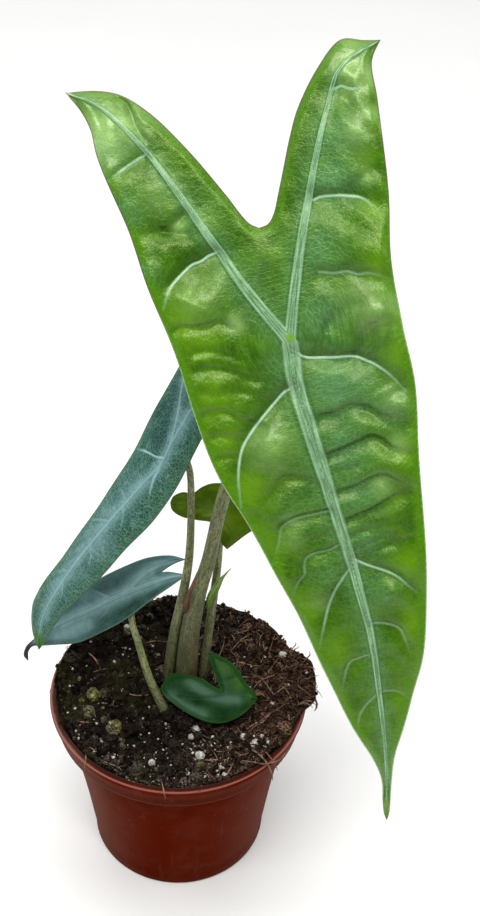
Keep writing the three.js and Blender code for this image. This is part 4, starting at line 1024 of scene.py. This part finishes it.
# Rings round a route. The marks hold the way round and the way along, in mm, and the share.
def sweep(route, radii, rings, sides, flat=1.0, groove=0.0, seed=0.0):
    centre = smoothLine(route, rings)
    ahead = unit(np.gradient(centre, axis=0))
    first = unit(np.array([1.0, 0, 0]) - ahead * ahead[:, :1])
    second = np.cross(ahead, first)
    share = np.linspace(0, 1, rings + 1)
    radius = spaced(radii, rings + 1)[:, None]
    around, along = np.meshgrid(np.linspace(0, 2 * np.pi, sides, endpoint=False), share * lengthOf(centre))
    cos, sin = np.cos(around), np.sin(around)
    uneven = 0.5 * layered(2 * cos + seed, 2 * sin + along / 6, 2)
    ribbing = np.cos(5 * around + 0.05 * along + seed)
    size = radius * (1 + groove * (0.35 * uneven + 0.25 * ribbing))
    out = cos[..., None] * first[:, None] + flat * sin[..., None] * second[:, None]
    points = (centre[:, None] + size[..., None] * out).reshape(-1, 3)
    skin = np.stack([cos * radius, sin * radius, along], -1).reshape(-1, 3)
    return points, ringFaces(rings + 1, sides), {"skin": skin, "share": np.repeat(share, sides)}


def stemMaterial(name, look):
    material, tree, place = newMaterial(name)
    skin = mark(tree, "skin")
    striped = cloudy(stretched(skin, (3.0, 3.0, 0.12)), 1.0, 3.0, 0.6)
    colour = patchy(stretched(skin, (1.0, 1.0, 0.2)), look["pale"], look["olive"], 0.5, 0.15)
    colour = mixColour(ease(striped, 0.5, 0.65), colour, look["olive"])
    low = ease(mark(tree, "share", "Fac"), look["footShare"], 0.0)
    colour = mixColour(times(low, 0.8), colour, look["foot"])
    dotted = stretched(skin, (1.0, 1.0, 0.42))
    fine = specked(dotted, 2.6 * look["speckScale"], 0.42)
    dark = larger(specked(dotted, look["speckScale"], look["speckAmount"]), times(fine, 0.6))
    colour = mixColour(times(dark, 0.75), colour, look["speck"])
    if "rust" in look:
        rusty = times(mark(tree, "rust", "Fac"), ease(striped, 0.3, 0.6))
        colour = mixColour(rusty, colour, look["rust"])
    grain = useGroup("fineGrain", place, Scale=2.0)
    rough = calc("MULTIPLY_ADD", grain["Mask"], 0.2, look["rough"])
    return finish(material, colour, rough, plus(grain["Height"], times(striped, 1.5)), look["grain"])


def makeStems():
    material = stemMaterial("stemSkin", stemLook)
    for k, leaf in enumerate(leaves):
        stem, kind = leaf["stem"], leaf["kind"]
        shape = (stem["rings"], stem["sides"], 1, stem["groove"], 3.7 * k)
        points, faces, marks = sweep(routeOf(leaf), stem["radii"], *shape)
        marks["rust"] = np.zeros(len(points))
        for radius, amount, line in stem.get("rust", []):
            for point in smoothLine(line, 40):
                near = amount * bell(np.linalg.norm(points - point, axis=1) / radius)
                marks["rust"] = np.maximum(marks["rust"], near)
        makePiece(kind + "Stem", points, faces, material, (kind + "LeafStem",), marks)


# The new shoot and the dry bract beside the green stem

shoots = [
    {
        "name": "shootTip", "node": "newShoot", "slot": "shootSkin",
        "route": [
            (6.6, 3.6, 70.6), (6.9, 3.6, 73.7), (8.1, 3.3, 77.2), (9.4, 3.2, 80.4), (11.4, 3.3, 83.6),
        ],
        "radii": (0.5, 0.8, 0.95, 0.75, 0.3, 0.08), "shape": (60, 24, 0.7, 0.1, 1.3),
        "look": {
            "pale": (0.17, 0.29, 0.035), "olive": (0.07, 0.14, 0.008), "speck": (0.04, 0.06, 0.008),
            "foot": (0.07, 0.13, 0.01), "footShare": 0.3,
            "speckScale": 1.5, "speckAmount": 0.33, "rough": 0.4, "grain": 0.04,
        },
    },
    {
        "name": "paperyBract", "node": "dryBract", "slot": "bractSkin",
        "route": [(1.4, 2, 70.6), (1.9, 1.2, 75.5), (3, 0.9, 80), (4.2, 1, 84.6)],
        "radii": (0.35, 0.6, 0.5, 0.3, 0.1), "shape": (60, 20, 0.5, 0.5, 4.1),
        "look": {
            "pale": (0.175, 0.08, 0.038), "olive": (0.07, 0.02, 0.008), "speck": (0.024, 0.01, 0.004),
            "foot": (0.08, 0.03, 0.012), "footShare": 0.3,
            "speckScale": 2, "speckAmount": 0.45, "rough": 0.7, "grain": 0.12,
        },
    },
]


def makeShoots():
    for item in shoots:
        points, faces, marks = sweep(item["route"], item["radii"], *item["shape"])
        material = stemMaterial(item["slot"], item["look"])
        makePiece(item["name"], points, faces, material, (item["node"],), marks)


# The pot: a turned shell with drain holes

pot = {
    "outside": [
        (20.2, 0), (20.5, 0.1), (20.76, 0.4), (20.9, 0.8), (21, 3.6), (22.8, 18), (25.75, 38.2),
        (25.95, 39.2), (26.4, 39.8), (27.3, 40.3), (28.4, 40.7), (28.66, 40.86), (28.76, 41.1),
        (28.86, 41.6), (29.18, 43.2), (29.62, 44.9), (29.95, 46.1), (29.98, 46.4), (29.85, 46.72),
        (29.55, 46.93), (29.2, 47),
    ],
    "inside": [
        (28.6, 46.95), (28.3, 46.76), (28.15, 46.3), (28.1, 45.4), (28.1, 43.1), (25.75, 42.2),
        (20, 2.6), (19.7, 1.9), (19.1, 1.45), (18.4, 1.4),
    ],
    "longest": 3, "sides": 160,
    "drain": (6, 2.2, 15),  # count, radius, radius of their circle
    "look": {
        "body": (0.086, 0.0055, 0.0004), "bodyPale": (0.098, 0.011, 0.003), "lip": (0.33, 0.14, 0.115),
        "dust": (0.26, 0.18, 0.15), "mudAndShade": (0.016, 0.009, 0.006), "grazingSheen": (0.19, 0.09, 0.07),
        "rough": 0.37, "grain": 0.03, "gloss": 0, "glossTint": (1, 0.35, 0.22),
    },
}


def potMaterial():
    look = pot["look"]
    material, tree, place = newMaterial("satinPlastic")
    at = split(place)
    colour = patchy(stretched(place, (1.0, 1.0, 0.6)), look["body"], look["bodyPale"], 0.06, 0.25)
    # Paler toward the left side: painted light.
    colour = mixColour(times(ease(at["X"], -8, -26), 0.6), colour, look["bodyPale"])

    # Dust: a faint film, streaks down the wall, and paler bands at both sides that are dust and painted
    # sheen.
    film = cloudy(place, 0.12, 5.0, 0.65, 0.6)
    streaks = cloudy(stretched(place, (1.0, 1.0, 0.06)), 0.5, 3.0, 0.6)
    dustAndSheen = larger(times(ease(film, 0.46, 0.72), 0.045), times(ease(streaks, 0.54, 0.72), 0.05))
    sides = plus(times(ease(at["X"], -14, -25), 0.35), times(ease(at["X"], 20, 27), 0.2))
    dustAndSheen = larger(dustAndSheen, times(sides, plus(0.35, film)))
    colour = mixColour(dustAndSheen, colour, look["dust"])

    # Mud and painted shade inside the rim, painted highlight on the lip, painted sheen where the wall turns
    # away.
    level = stretched(place, (1.0, 1.0, 0.0))
    radius = addNode(tree, "VectorMath", {0: level}, operation="LENGTH").outputs["Value"]
    inside = times(ease(plus(radius, times(streaks, 0.8)), 29.85, 29.5), ease(at["Z"], 40, 45.5))
    colour = mixColour(times(inside, 0.75), colour, look["mudAndShade"])
    lip = times(ease(at["Z"], 46.6, 46.85), ease(radius, 29.4, 29.65))
    colour = mixColour(times(lip, 0.7), colour, look["lip"])
    facing = addNode(tree, "LayerWeight", {"Blend": 0.5}).outputs["Facing"]
    colour = mixColour(times(ease(facing, 0.5, 0.95), 0.6), colour, look["grazingSheen"])
    colour = mixColour(times(specked(place, 0.8, 0.32), 0.6), colour, look["mudAndShade"])
    pale = specked(stretched(place, (1.0, 1.0, 0.9)), 1.4, 0.3)
    colour = mixColour(times(pale, 0.5), colour, look["dust"])

    rough = calc("MULTIPLY_ADD", film, 0.25, look["rough"])
    relief = plus(useGroup("fineGrain", place, Scale=1.2)["Height"], times(film, 2.0))
    shine = {"gloss": look["gloss"], "glossTint": look["glossTint"]}
    return finish(material, colour, rough, relief, look["grain"], **shine)


def makePot():
    # More points on the long runs of the profile, so that no face is a long strip.
    ends = [(0, 0), *pot["outside"], *pot["inside"], (0, 1.4)]
    profile = []
    for start, end in zip(ends, ends[1:]):
        steps = max(1, math.ceil(math.dist(start, end) / pot["longest"]))
        for i in range(1, steps + 1):
            profile.append([start[k] + (end[k] - start[k]) * i / steps for k in (0, 1)])
    floor = profile.pop()
    turn = np.linspace(0, 2 * np.pi, pot["sides"], endpoint=False)
    rings = [np.stack([r * np.cos(turn), r * np.sin(turn), np.full(len(turn), z)], 1) for r, z in profile]
    points = np.vstack([*rings, (0, 0, 0), (0, 0, floor[1])])
    faces = ringFaces(len(rings), len(turn), True)
    shell = makePiece("potShell", points, faces, potMaterial(), ("pot",))
    count, radius, circle = pot["drain"]
    cutters = []
    for i in range(count):
        angle = 2 * math.pi * i / count
        place = (circle * math.cos(angle) * mm, circle * math.sin(angle) * mm, 0.7 * mm)
        bpy.ops.mesh.primitive_cylinder_add(vertices=32, radius=radius * mm, depth=8 * mm, location=place)
        cutters.append(bpy.context.object)
        cut = shell.modifiers.new("drain", "BOOLEAN")
        cut.operation = "DIFFERENCE"
        cut.object = cutters[-1]
    seen = bpy.context.evaluated_depsgraph_get()
    seen.update()
    carved = bpy.data.meshes.new_from_object(shell.evaluated_get(seen))
    shell.modifiers.clear()
    shell.data = carved
    for cutter in cutters:
        bpy.data.objects.remove(cutter)


# The potting mix: the same mound and spills as the solid, with crumbs, chips and fibres on it

soil = {
    "level": 45.7, "rise": 0.035,
    "mound": (2, 2, 2.3, 12.6),  # x, y, height, spread
    "lump": (4.5, 0.45),  # size, height
    "wallRadius": 27.7,
    "bankRise": (1.2, 26.1, 1.5),  # height, from radius, over radius
    "climb": (12, 14, 40, 32),  # from radius, over radius, degrees before a spill, over degrees
    "spillRamp": 18,
    "spills": [(6, 26, 4.6, 2.6), (130, 62, 1.9, 1.1)],  # middle, half width, reach, heap
    "edgeDrop": 1.2, "onRim": 47.3,  # how far the edge lies under the top, and its height on the rim
    "inside": [(19.2, 1.7), (19.5, 2.8), (25.2, 42.4), (27.7, 43.4)],  # profile up the pot's wall
    "sectors": 400, "rings": 112,
    "rough": (2.2, 0.75),  # size and height of the clods
    # Loose lumps: count, smallest, largest, knobs, smoothness, room to the edge.
    "clods": (520, 0.5, 1.6, 0.22, 2, 1.2), "crumbs": (6400, 0.14, 0.6, 0.3, 1, 0.1),
    "bank": (2600, 0.15, 0.45), "bankSpread": 0.6,  # crumbs along the wall, smallest and largest
    "atFeet": (60, 0.15, 0.5),  # crumbs round each stem's foot, smallest and largest
    "chips": (300, 0.3, 1.4, 0.14, 2, 1.6),  # flat splinters of bark
    "look": {
        "dark": (0.003, 0.002, 0.0015), "brown": (0.013, 0.008, 0.006), "light": (0.26, 0.145, 0.09),
        "grey": (0.21, 0.17, 0.125), "moss": (0.04, 0.04, 0.01), "rough": 0.5, "grain": 0.7, "gloss": 0.05,
    },
}


def insideSpill(spill, degrees):
    return spill[1] - np.abs((degrees - spill[0] + 540) % 360 - 180)


def spillHeap(spill, degrees):
    return smoothStep((insideSpill(spill, degrees) + soil["climb"][2]) / soil["climb"][3])


def spilling(degrees):
    return np.maximum.reduce([spillHeap(spill, degrees) for spill in soil["spills"]])


def spillReach(degrees):
    reaches = []
    for spill in soil["spills"]:
        reaches.append(spill[2] * smoothStep(insideSpill(spill, degrees) / soil["spillRamp"]))
        reaches.append(1.2 * smoothStep((spillHeap(spill, degrees) - 0.7) / 0.25))
    return np.maximum.reduce(reaches)


def soilTop(x, y, banked=1.0):
    radius, degrees = np.hypot(x, y), np.degrees(np.arctan2(y, x))
    middleX, middleY, height, spread = soil["mound"]
    size, lump = soil["lump"]
    top = soil["level"] + soil["rise"] * y + lump * noise(x / size, y / size)
    top += height * bell(np.hypot(x - middleX, y - middleY) / spread)
    start, over = soil["climb"][:2]
    for spill in soil["spills"]:
        top += spill[3] * spillHeap(spill, degrees) * smoothStep((radius - start) / over)
    rise, start, over = soil["bankRise"]
    return top + banked * rise * (1 - spilling(degrees)) * smoothStep((radius - start) / over)


def clods(x, y):
    size, height = soil["rough"]
    return height * layered(x / size, y / size, 4)


# The top of the mix with its clods, where the loose things lie.
def groundAt(x, y):
    return soilTop(x, y) + clods(x, y)


def soilMaterial():
    look = soil["look"]
    material, tree, place = newMaterial("pottingMix")
    at = split(place)
    colour = patchy(place, look["dark"], look["brown"], 0.5, 0.12)

    # The dry right side and the front are lighter, the damp left side is mossy.
    right = ease(at["X"], -4, 24)
    lit = larger(right, ease(at["Y"], -12, -24))
    amount = plus(times(right, 0.15), mark(tree, "shade", "Fac"))
    amount = times(amount, plus(0.8, times(lit, 0.3)))
    lighter = times(amount, ease(cloudy(place, 1.8, 5.0, 0.75, 0.3), 0.42, 0.62))
    colour = mixColour(lighter, colour, mixColour(right, look["grey"], look["light"]))
    left = times(ease(cloudy(place, 0.14, 3.0, 0.6), 0.5, 0.6), ease(at["X"], 2, -16))
    colour = mixColour(times(left, 0.35), colour, look["moss"])

    wet = ease(cloudy(place, 1.1), 0.7, 0.5)
    rough = calc("MULTIPLY_ADD", wet, 0.35, look["rough"])
    grain = useGroup("fineGrain", place, Scale=1.8)["Height"]
    return finish(material, colour, rough, grain, look["grain"], gloss=look["gloss"])


def makeSoil(material):
    sectors, rings, wall = soil["sectors"], soil["rings"], soil["wallRadius"]
    turn = np.linspace(0, 2 * np.pi, sectors, endpoint=False)
    cos, sin = np.cos(turn), np.sin(turn)
    degrees = np.degrees(turn)
    heaped = spilling(degrees)
    edge = wall + spillReach(degrees)
    ragged = edge * (1 + 0.012 * layered(6 * cos, 6 * sin, 3)) - 0.2
    lip = (soilTop(edge * cos, edge * sin) - soil["edgeDrop"]) * (1 - heaped) + soil["onRim"] * heaped
    # Up the inside of the wall, out over the rim, and in to the middle.
    rows = soil["inside"] + [(wall, np.minimum(lip, 46.1) - 0.3), (wall, lip), (ragged, lip + 0.3)]
    for k in range(rings):
        r = ragged * (1 - k / rings) - 0.15 * (k == 0)
        top = groundAt(r * cos, r * sin)
        rows.append((r, top if k else np.maximum(soilTop(r * cos, r * sin), lip + 0.45)))
    points = np.vstack([np.stack([r * cos, r * sin, z + 0 * turn], 1) for r, z in rows])
    points = np.vstack([points, (0, 0, 1.7), (0, 0, float(soilTop(0.0, 0.0)))])
    # Painted shade: the bed is darker in the hollows between the clods and lighter on their tops.
    shade = 0.35 * smoothStep(clods(points[:, 0], points[:, 1]) / soil["rough"][1])
    faces = ringFaces(len(rows), sectors, True)
    makePiece("soilBed", points, faces, material, ("soil",), {"shade": shade})


def ball(level):
    shape = bmesh.new()
    bmesh.ops.create_icosphere(shape, subdivisions=level, radius=1.0)
    points = np.array([corner.co[:] for corner in shape.verts])
    faces = np.array([[corner.index for corner in face.verts] for face in shape.faces])
    shape.free()
    return points, faces


def turns(count):
    w, x, y, z = unit(random.normal(size=(count, 4))).T
    return np.array([
        [1 - 2 * (y * y + z * z), 2 * (x * y - z * w), 2 * (x * z + y * w)],
        [2 * (x * y + z * w), 1 - 2 * (x * x + z * z), 2 * (y * z - x * w)],
        [2 * (x * z - y * w), 2 * (y * z + x * w), 1 - 2 * (x * x + y * y)],
    ]).transpose(2, 0, 1)


# Many knobbly lumps as one mesh: centres, radii, and how long and flat each one is.
def lumps(centres, radii, stretch, knob, level):
    base, faces = ball(level)
    count = len(centres)
    shape = base[None] * (1 + knob * random.normal(size=(count, len(base), 1)))
    shape = shape * stretch[:, None, :]
    shape = np.einsum("nij,nvj->nvi", turns(count), shape) * radii[:, None, None]
    points = (shape + centres[:, None]).reshape(-1, 3)
    steps = np.arange(count)[:, None, None] * len(base)
    return points, (faces[None] + steps).reshape(-1, 3).tolist(), len(base)


# Random spots on the mix, inside its edge by a margin.
def spotsOnSoil(count, margin):
    turn = random.uniform(0, 2 * np.pi, count)
    edge = soil["wallRadius"] + spillReach(np.degrees(turn)) - margin
    r = edge * np.sqrt(random.uniform(0, 1, count))
    x, y = r * np.cos(turn), r * np.sin(turn)
    return np.stack([x, y, groundAt(x, y)], 1)


def makeCrumbs(name, centres, radii, knob, level, material):
    stretch = random.uniform(0.35, 1.4, (len(radii), 3))
    points, faces, each = lumps(centres, radii, stretch, knob, level)
    right = np.clip(np.maximum((centres[:, 0] + 4) / 28, (-13 - centres[:, 1]) / 9), 0, 1)
    luck = random.uniform(0, 1, len(radii))
    pale = smoothStep((luck - 0.82 + 0.26 * right) / 0.12) * (0.5 + 0.5 * random.uniform(0, 1, len(radii)))
    shade = np.repeat(np.maximum(pale, (0.15 + 0.5 * right) * luck), each)
    makePiece(name, points, faces, material, (), {"shade": shade}, False)


def scattered(values):
    count, low, high, knob, level, margin = values
    centres = spotsOnSoil(count, margin)
    radii = low + (high - low) * random.uniform(0, 1, count) ** 2.2
    centres[:, 2] += 0.3 * radii
    return centres, radii


# Crumbs banked against the wall.
def crumbsAtWall():
    count, low, high = soil["bank"]
    turn = random.uniform(0, 2 * np.pi, count)
    reach = soil["wallRadius"] + 0.05 - np.abs(random.normal(0, soil["bankSpread"], count))
    x, y = reach * np.cos(turn), reach * np.sin(turn)
    rise = random.uniform(0, 1, count) * smoothStep((reach - 26) / 1.5)
    return np.stack([x, y, groundAt(x, y) + rise], 1), random.uniform(low, high, count)


def crumbsAtFeet():
    each, low, high = soil["atFeet"]
    feet = [(*leaf["stem"]["route"][1][:2], leaf["stem"]["radii"][0]) for leaf in leaves]
    footX, footY, radius = np.repeat(feet, each, axis=0).T
    turn = random.uniform(0, 2 * np.pi, len(radius))
    reach = radius + random.uniform(0.0, 0.9, len(radius))
    x, y = footX + reach * np.cos(turn), footY + reach * np.sin(turn)
    z = soilTop(x, y) + random.uniform(0, 0.5, len(radius))
    return np.stack([x, y, z], 1), random.uniform(low, high, len(radius))


def makeLooseSoil(material):
    centres, radii = scattered(soil["clods"])
    makeCrumbs("soilClods", centres, radii, *soil["clods"][3:5], material)
    centres, radii = zip(scattered(soil["crumbs"]), crumbsAtWall(), crumbsAtFeet())
    makeCrumbs("soilCrumbs", np.vstack(centres), np.concatenate(radii), *soil["crumbs"][3:5], material)

    count, low, high, knob, level, margin = soil["chips"]
    centres = spotsOnSoil(count, margin)
    radii = low + (high - low) * random.uniform(0, 1, count) ** 2
    centres[:, 2] += 0.25 * radii
    wide, thick = random.uniform(0.3, 0.6, count), random.uniform(0.12, 0.22, count)
    stretch = np.stack([np.ones(count), wide, thick], 1)
    points, faces, each = lumps(centres, radii, stretch, knob, level)
    right = np.clip((centres[:, 0] + 16) / 24, 0.25, 1)
    shade = np.repeat(right * random.uniform(0.1, 1, count) ** 1.3, each)
    makePiece("barkChips", points, faces, material, (), {"shade": shade}, False)


# Coir fibres on the mix, and brown roots that lean over the rim

fibres = {
    "scattered": 460, "kept": (0.08, 0.88, 5),  # share that is kept at the left and right of x
    "atEdge": 0.7,  # how many hang over a spill, over its half width
    "radius": (0.08, 0.2), "length": (1.5, 12), "rings": 9, "sides": 5,
    # The ones that stand out in the photo, each from end to end on the mix: x, y pairs.
    "traced": [
        [(12.5, -6.2), (13.6, -9.5), (15.2, -13)], [(16.5, -12.5), (21, -8), (25.5, -4.5)],
        [(3.6, -19.6), (8, -19.5), (12.5, -19.2)], [(-20.5, -17.8), (-19, -17.6), (-17.5, -18)],
        [(-1, -22.3), (-1.3, -25), (-1.2, -27)], [(-10.3, -25.6), (-9.2, -26.6), (-8.2, -27)],
        [(-19.8, -20), (-19.6, -22), (-19.8, -23.8)], [(9, 6), (14, 8), (19, 6.5)],
        [(12, 12), (16, 16), (21, 17)], [(17, 0), (21, 3), (26, 4)],
    ],
    "tracedRadius": 0.16,
    "look": {
        "pale": (0.37, 0.225, 0.14), "dark": (0.04, 0.02, 0.012), "rough": 0.7, "grain": 0.1, "gloss": 0.3,
    },
}
roots = {
    "routes": [
        [(16.8, -16.5, 46.5), (18.6, -19, 48.1), (20.6, -21.6, 48.2), (21.9, -22.9, 45.8),
         (22.2, -22.9, 43.6)],
        [(19.5, -17, 46.8), (20.8, -19.3, 48.3), (22.2, -21.2, 47.9), (23.2, -21.6, 45.5)],
        [(15.2, -20, 46.6), (17.8, -21.4, 47.9), (20.4, -22.2, 48.4), (23.6, -20.4, 47.9),
         (25, -17.6, 46.9)],
        [(31.2, -1.2, 47.6), (32.2, -2, 46.4), (32.3, -2.2, 44.6), (31.9, -2.4, 43.6)],
        [(-2.4, -26.5, 46.6), (-1.9, -29.2, 47.6), (-1.6, -30.1, 46.8), (-1.4, -30.2, 45.4)],
    ],
    "radii": (0.2, 0.17, 0.16, 0.24, 0.14), "rings": 34, "sides": 8,
}


# Thin bent threads as one mesh: routes in mm, and a radius for each.
def threads(routes, radii, rings, sides):
    points, faces, shade = [], [], []
    for route, radius in zip(routes, radii):
        part, around, marks = sweep(route, (0.7 * radius, radius, radius, 0.35 * radius), rings, sides)
        first = len(points) * len(part)
        points.append(part)
        faces += [[first + k for k in face] for face in around]
        shade.append(np.full(len(part), random.uniform(0, 1)))
    return np.vstack(points), faces, np.concatenate(shade)


# A random thread that lies on the mix: middle, heading, length, bend and rise.
def lyingThread(x, y, length, bend, rise):
    heading = random.uniform(0, 2 * np.pi)
    route = []
    for share in (-0.5, -0.17, 0.17, 0.5):
        turn = heading + bend * share
        px, py = x + length * share * math.cos(turn), y + length * share * math.sin(turn)
        most = soil["wallRadius"] + spillReach(np.degrees(np.arctan2(py, px))) - 0.6
        fit = min(1, most / math.hypot(px, py))
        px, py = px * fit, py * fit
        route.append((px, py, groundAt(px, py) + rise * (1 - 3 * share * share) + 0.1))
    return route


# A thread that sticks out over the edge of a spill and hangs a little.
def edgeThread(middle, width):
    degrees = middle + random.uniform(-0.85, 0.85) * width
    edge = soil["wallRadius"] + spillReach(degrees)
    turn, lean = math.radians(degrees), random.uniform(-0.12, 0.12)
    past, drop = random.uniform(0.1, 1.3), random.uniform(0.2, 1.6)
    reaches = (edge - 2.4, 0), (edge - 1, 0), (edge + 0.4 * past, 0.5 * drop), (edge + past, drop)
    route = []
    for k, (r, down) in enumerate(reaches):
        x, y = r * math.cos(turn + lean * k / 3), r * math.sin(turn + lean * k / 3)
        inner = min(r, edge - 0.8) / r
        route.append((x, y, soilTop(x * inner, y * inner) + 0.35 - down))
    return route


def fibreMaterial():
    look = fibres["look"]
    material, tree, place = newMaterial("coirFibre")
    amount = times(ease(cloudy(place, 0.9, 3.0, 0.6), 0.3, 0.65), mark(tree, "shade", "Fac"))
    colour = mixColour(amount, look["dark"], look["pale"])
    grain = useGroup("fineGrain", place, Scale=4.0)["Height"]
    return finish(material, colour, look["rough"], grain, look["grain"], gloss=look["gloss"])


def makeFibres(material):
    low, high = fibres["radius"]
    short, long = fibres["length"]
    atLeft, atRight, middle = fibres["kept"]
    routes, radii = [], []
    for x, y, _ in spotsOnSoil(fibres["scattered"], 1.5):
        if random.uniform(0, 1) > (atRight if x > middle else atLeft):
            continue
        length = short + (long - short) * random.uniform(0, 1) ** 2
        routes.append(lyingThread(x, y, length, random.uniform(-0.8, 0.8), random.uniform(0.1, 0.8)))
        radii.append(low + (high - low) * random.uniform(0, 1) ** 2)
    for middle, width, *_ in soil["spills"]:
        for _ in range(int(fibres["atEdge"] * width)):
            routes.append(edgeThread(middle, width))
            radii.append(low + 0.6 * (high - low) * random.uniform(0, 1))
    for trace in fibres["traced"]:
        routes.append([(x, y, groundAt(x, y) + 0.55) for x, y in smoothLine(trace, 4)])
        radii.append(fibres["tracedRadius"])
    points, faces, shade = threads(routes, radii, fibres["rings"], fibres["sides"])
    makePiece("coirFibres", points, faces, material, (), {"shade": shade})
    points, faces, shade = threads(roots["routes"], roots["radii"], roots["rings"], roots["sides"])
    makePiece("overhangingRoots", points, faces, material, (), {"shade": 0.35 + 0.4 * shade})


# White perlite, and pellets gone green with algae: the big ones stand for the part's own

perlite = {
    # name, node, place and radius
    "big": [
        ("perliteFrontGrain", "perliteFront", (11.7, -24), 1.15),
        ("perliteMiddleGrain", "perliteMiddle", (11, -20.8), 1),
        ("perliteLeftGrain", "perliteLeft", (-5, -20.6), 0.9),
        ("perliteRightGrain", "perliteRight", (24.3, 9.6), 1.1),
    ],
    # x, y and radius of the ones that the photo shows.
    "small": [
        (-24.8, 0.3, 0.35), (-16.9, -1.9, 0.4), (-18.5, -4.4, 0.35), (-20.7, 2, 0.35), (-14.9, -3, 0.35),
        (-11.5, 26, 0.4), (-13.6, 18.7, 0.8), (18.4, -9.8, 0.5), (15.5, -13.5, 0.95), (17.8, -15.7, 1.1),
        (19.6, -14.2, 0.5), (21, -15.3, 0.5), (4.5, -11, 0.9), (3.5, -13.3, 0.7), (-1.3, -13.2, 0.45),
        (3.2, -23, 0.45), (5.4, -22.9, 0.5), (11.2, -22.4, 0.5), (9.9, -22.6, 0.4), (8.9, -25.3, 0.5),
        (-9, -20.7, 0.4), (-6.6, -19.7, 0.35), (-1.3, -22.1, 0.45), (8.4, -12.3, 0.45), (11.9, -15.9, 0.4),
        (-13.8, -19.4, 0.45), (-15.9, -18.1, 0.4), (21.9, -4.6, 0.45), (5.7, -18.7, 1.2), (1.2, -25.5, 0.4),
    ],
    "dust": 240, "frontDust": 640, "frontFrom": -12, "dustRadius": (0.1, 0.36),
    "knobs": 0.1, "pits": 0.06,  # over a big grain's radius
    "look": {
        "chalk": (0.62, 0.61, 0.56), "pores": (0.3, 0.28, 0.23), "soiled": (0.06, 0.045, 0.03),
        "rough": 0.8, "grain": 0.35, "gloss": 0.2,
    },
}
pellets = {
    "big": [
        ("pelletFrontLump", "pelletFront", (-14.2, -11.5), 2),
        ("pelletMiddleLump", "pelletMiddle", (-20.3, -7.4), 1.6),
        ("pelletBackLump", "pelletBack", (-19.8, -2.2), 1.8),
        ("pelletRimLump", "pelletRim", (-23, 1.6), 1.5),
    ],
    "knobs": 0.1, "pits": 0.09,
    "small": [
        (-5.7, 10, 1), (-13.5, 18, 1.1), (-6.6, 25.6, 0.9), (-19.4, -2, 0.7), (-16.6, -9.4, 0.9),
        (-8.1, 22, 0.8), (-10.2, 15.2, 0.7), (-17.3, -5.4, 0.6), (-22.2, -4.4, 0.7), (-12.4, -14.2, 0.6),
        (5.8, -20.6, 0.9),
    ],
    "look": {
        "algae": (0.2, 0.2, 0.045), "clay": (0.15, 0.12, 0.065), "dark": (0.02, 0.017, 0.008),
        "pale": (0.42, 0.41, 0.28), "rough": 0.8, "grain": 0.5, "gloss": 0.2,
    },
}
grainRise = 0.35  # how far a big grain's middle stands over the mix, over its radius


def perliteMaterial():
    look = perlite["look"]
    material, tree, place = newMaterial("perliteChalk")
    colour = patchy(place, look["chalk"], look["pores"], 1.4, 0.14)
    colour = mixColour(specked(place, 1.6, 0.38), colour, look["soiled"])
    grain = useGroup("fineGrain", place, Scale=3.0)["Height"]
    return finish(material, colour, look["rough"], grain, look["grain"], gloss=look["gloss"])


def pelletMaterial():
    look = pellets["look"]
    material, tree, place = newMaterial("algaeClay")
    pits = ease(cloudy(place, 1.1, 4.0, 0.7, 0.4), 0.48, 0.58)
    colour = patchy(place, look["algae"], look["clay"], 0.35, 0.1)
    colour = mixColour(times(pits, 0.8), colour, look["dark"])
    colour = mixColour(specked(place, 1.3, 0.4), colour, look["pale"])
    relief = minus(useGroup("fineGrain", place, Scale=2.2)["Height"], pits)
    return finish(material, colour, look["rough"], relief, look["grain"], gloss=look["gloss"])


# One lumpy grain where the part has its plain one.
def makeGrain(name, node, at, radius, material, slot, knob, pits):
    base, faces = ball(5)
    x, y = at
    a, b, c = base.T
    bumps = knob * noise(3 * a + x, 3 * b + 2 * c + y)
    bumps += 0.6 * knob * noise(5 * b - y, 5 * c + 3 * a + x)
    bumps -= pits * smoothStep((noise(9 * a + 4 * c, 9 * b - x) - 0.2) / 0.5)
    middle = np.array([x, y, soilTop(x, y, 0.0) + grainRise * radius])
    points = middle + base * (0.94 * radius * (1 + bumps))[:, None]
    makePiece(name, points, faces.tolist(), material, (node,))


def makePerlite():
    chalk = perliteMaterial()
    for grain in perlite["big"]:
        makeGrain(*grain, chalk, "perliteGrain", perlite["knobs"], perlite["pits"])
    small = np.array(perlite["small"])
    dust = spotsOnSoil(perlite["dust"], 0.8)
    front = spotsOnSoil(perlite["frontDust"], 0.8)
    front = front[front[:, 1] < perlite["frontFrom"]]
    x, y = np.vstack([small[:, :2], dust[:, :2], front[:, :2]]).T
    low, high = perlite["dustRadius"]
    fine = low + (high - low) * random.uniform(0, 1, len(dust) + len(front)) ** 1.6
    radii = np.append(small[:, 2], fine)
    centres = np.stack([x, y, groundAt(x, y) + 0.5 * radii], 1)
    points, faces, _ = lumps(centres, radii, random.uniform(0.7, 1.2, (len(radii), 3)), 0.08, 3)
    makePiece("perliteCrumbs", points, faces, chalk)


def makePellets():
    clay = pelletMaterial()
    for pellet in pellets["big"]:
        makeGrain(*pellet, clay, "mossyPellet", pellets["knobs"], pellets["pits"])
    x, y, radii = np.array(pellets["small"]).T
    centres = np.stack([x, y, groundAt(x, y) + 0.35 * radii], 1)
    points, faces, _ = lumps(centres, radii, random.uniform(0.75, 1.15, (len(radii), 3)), 0.05, 4)
    makePiece("smallPellets", points, faces, clay)


makeGroups()
makeStudio()
makeFloor()
print("camera, light and floor")
makePot()
mix = soilMaterial()
makeSoil(mix)
makeLooseSoil(mix)
makeFibres(fibreMaterial())
makePerlite()
makePellets()
makeStems()
makeShoots()
for leaf in leaves:
    makeBlade(leaf)
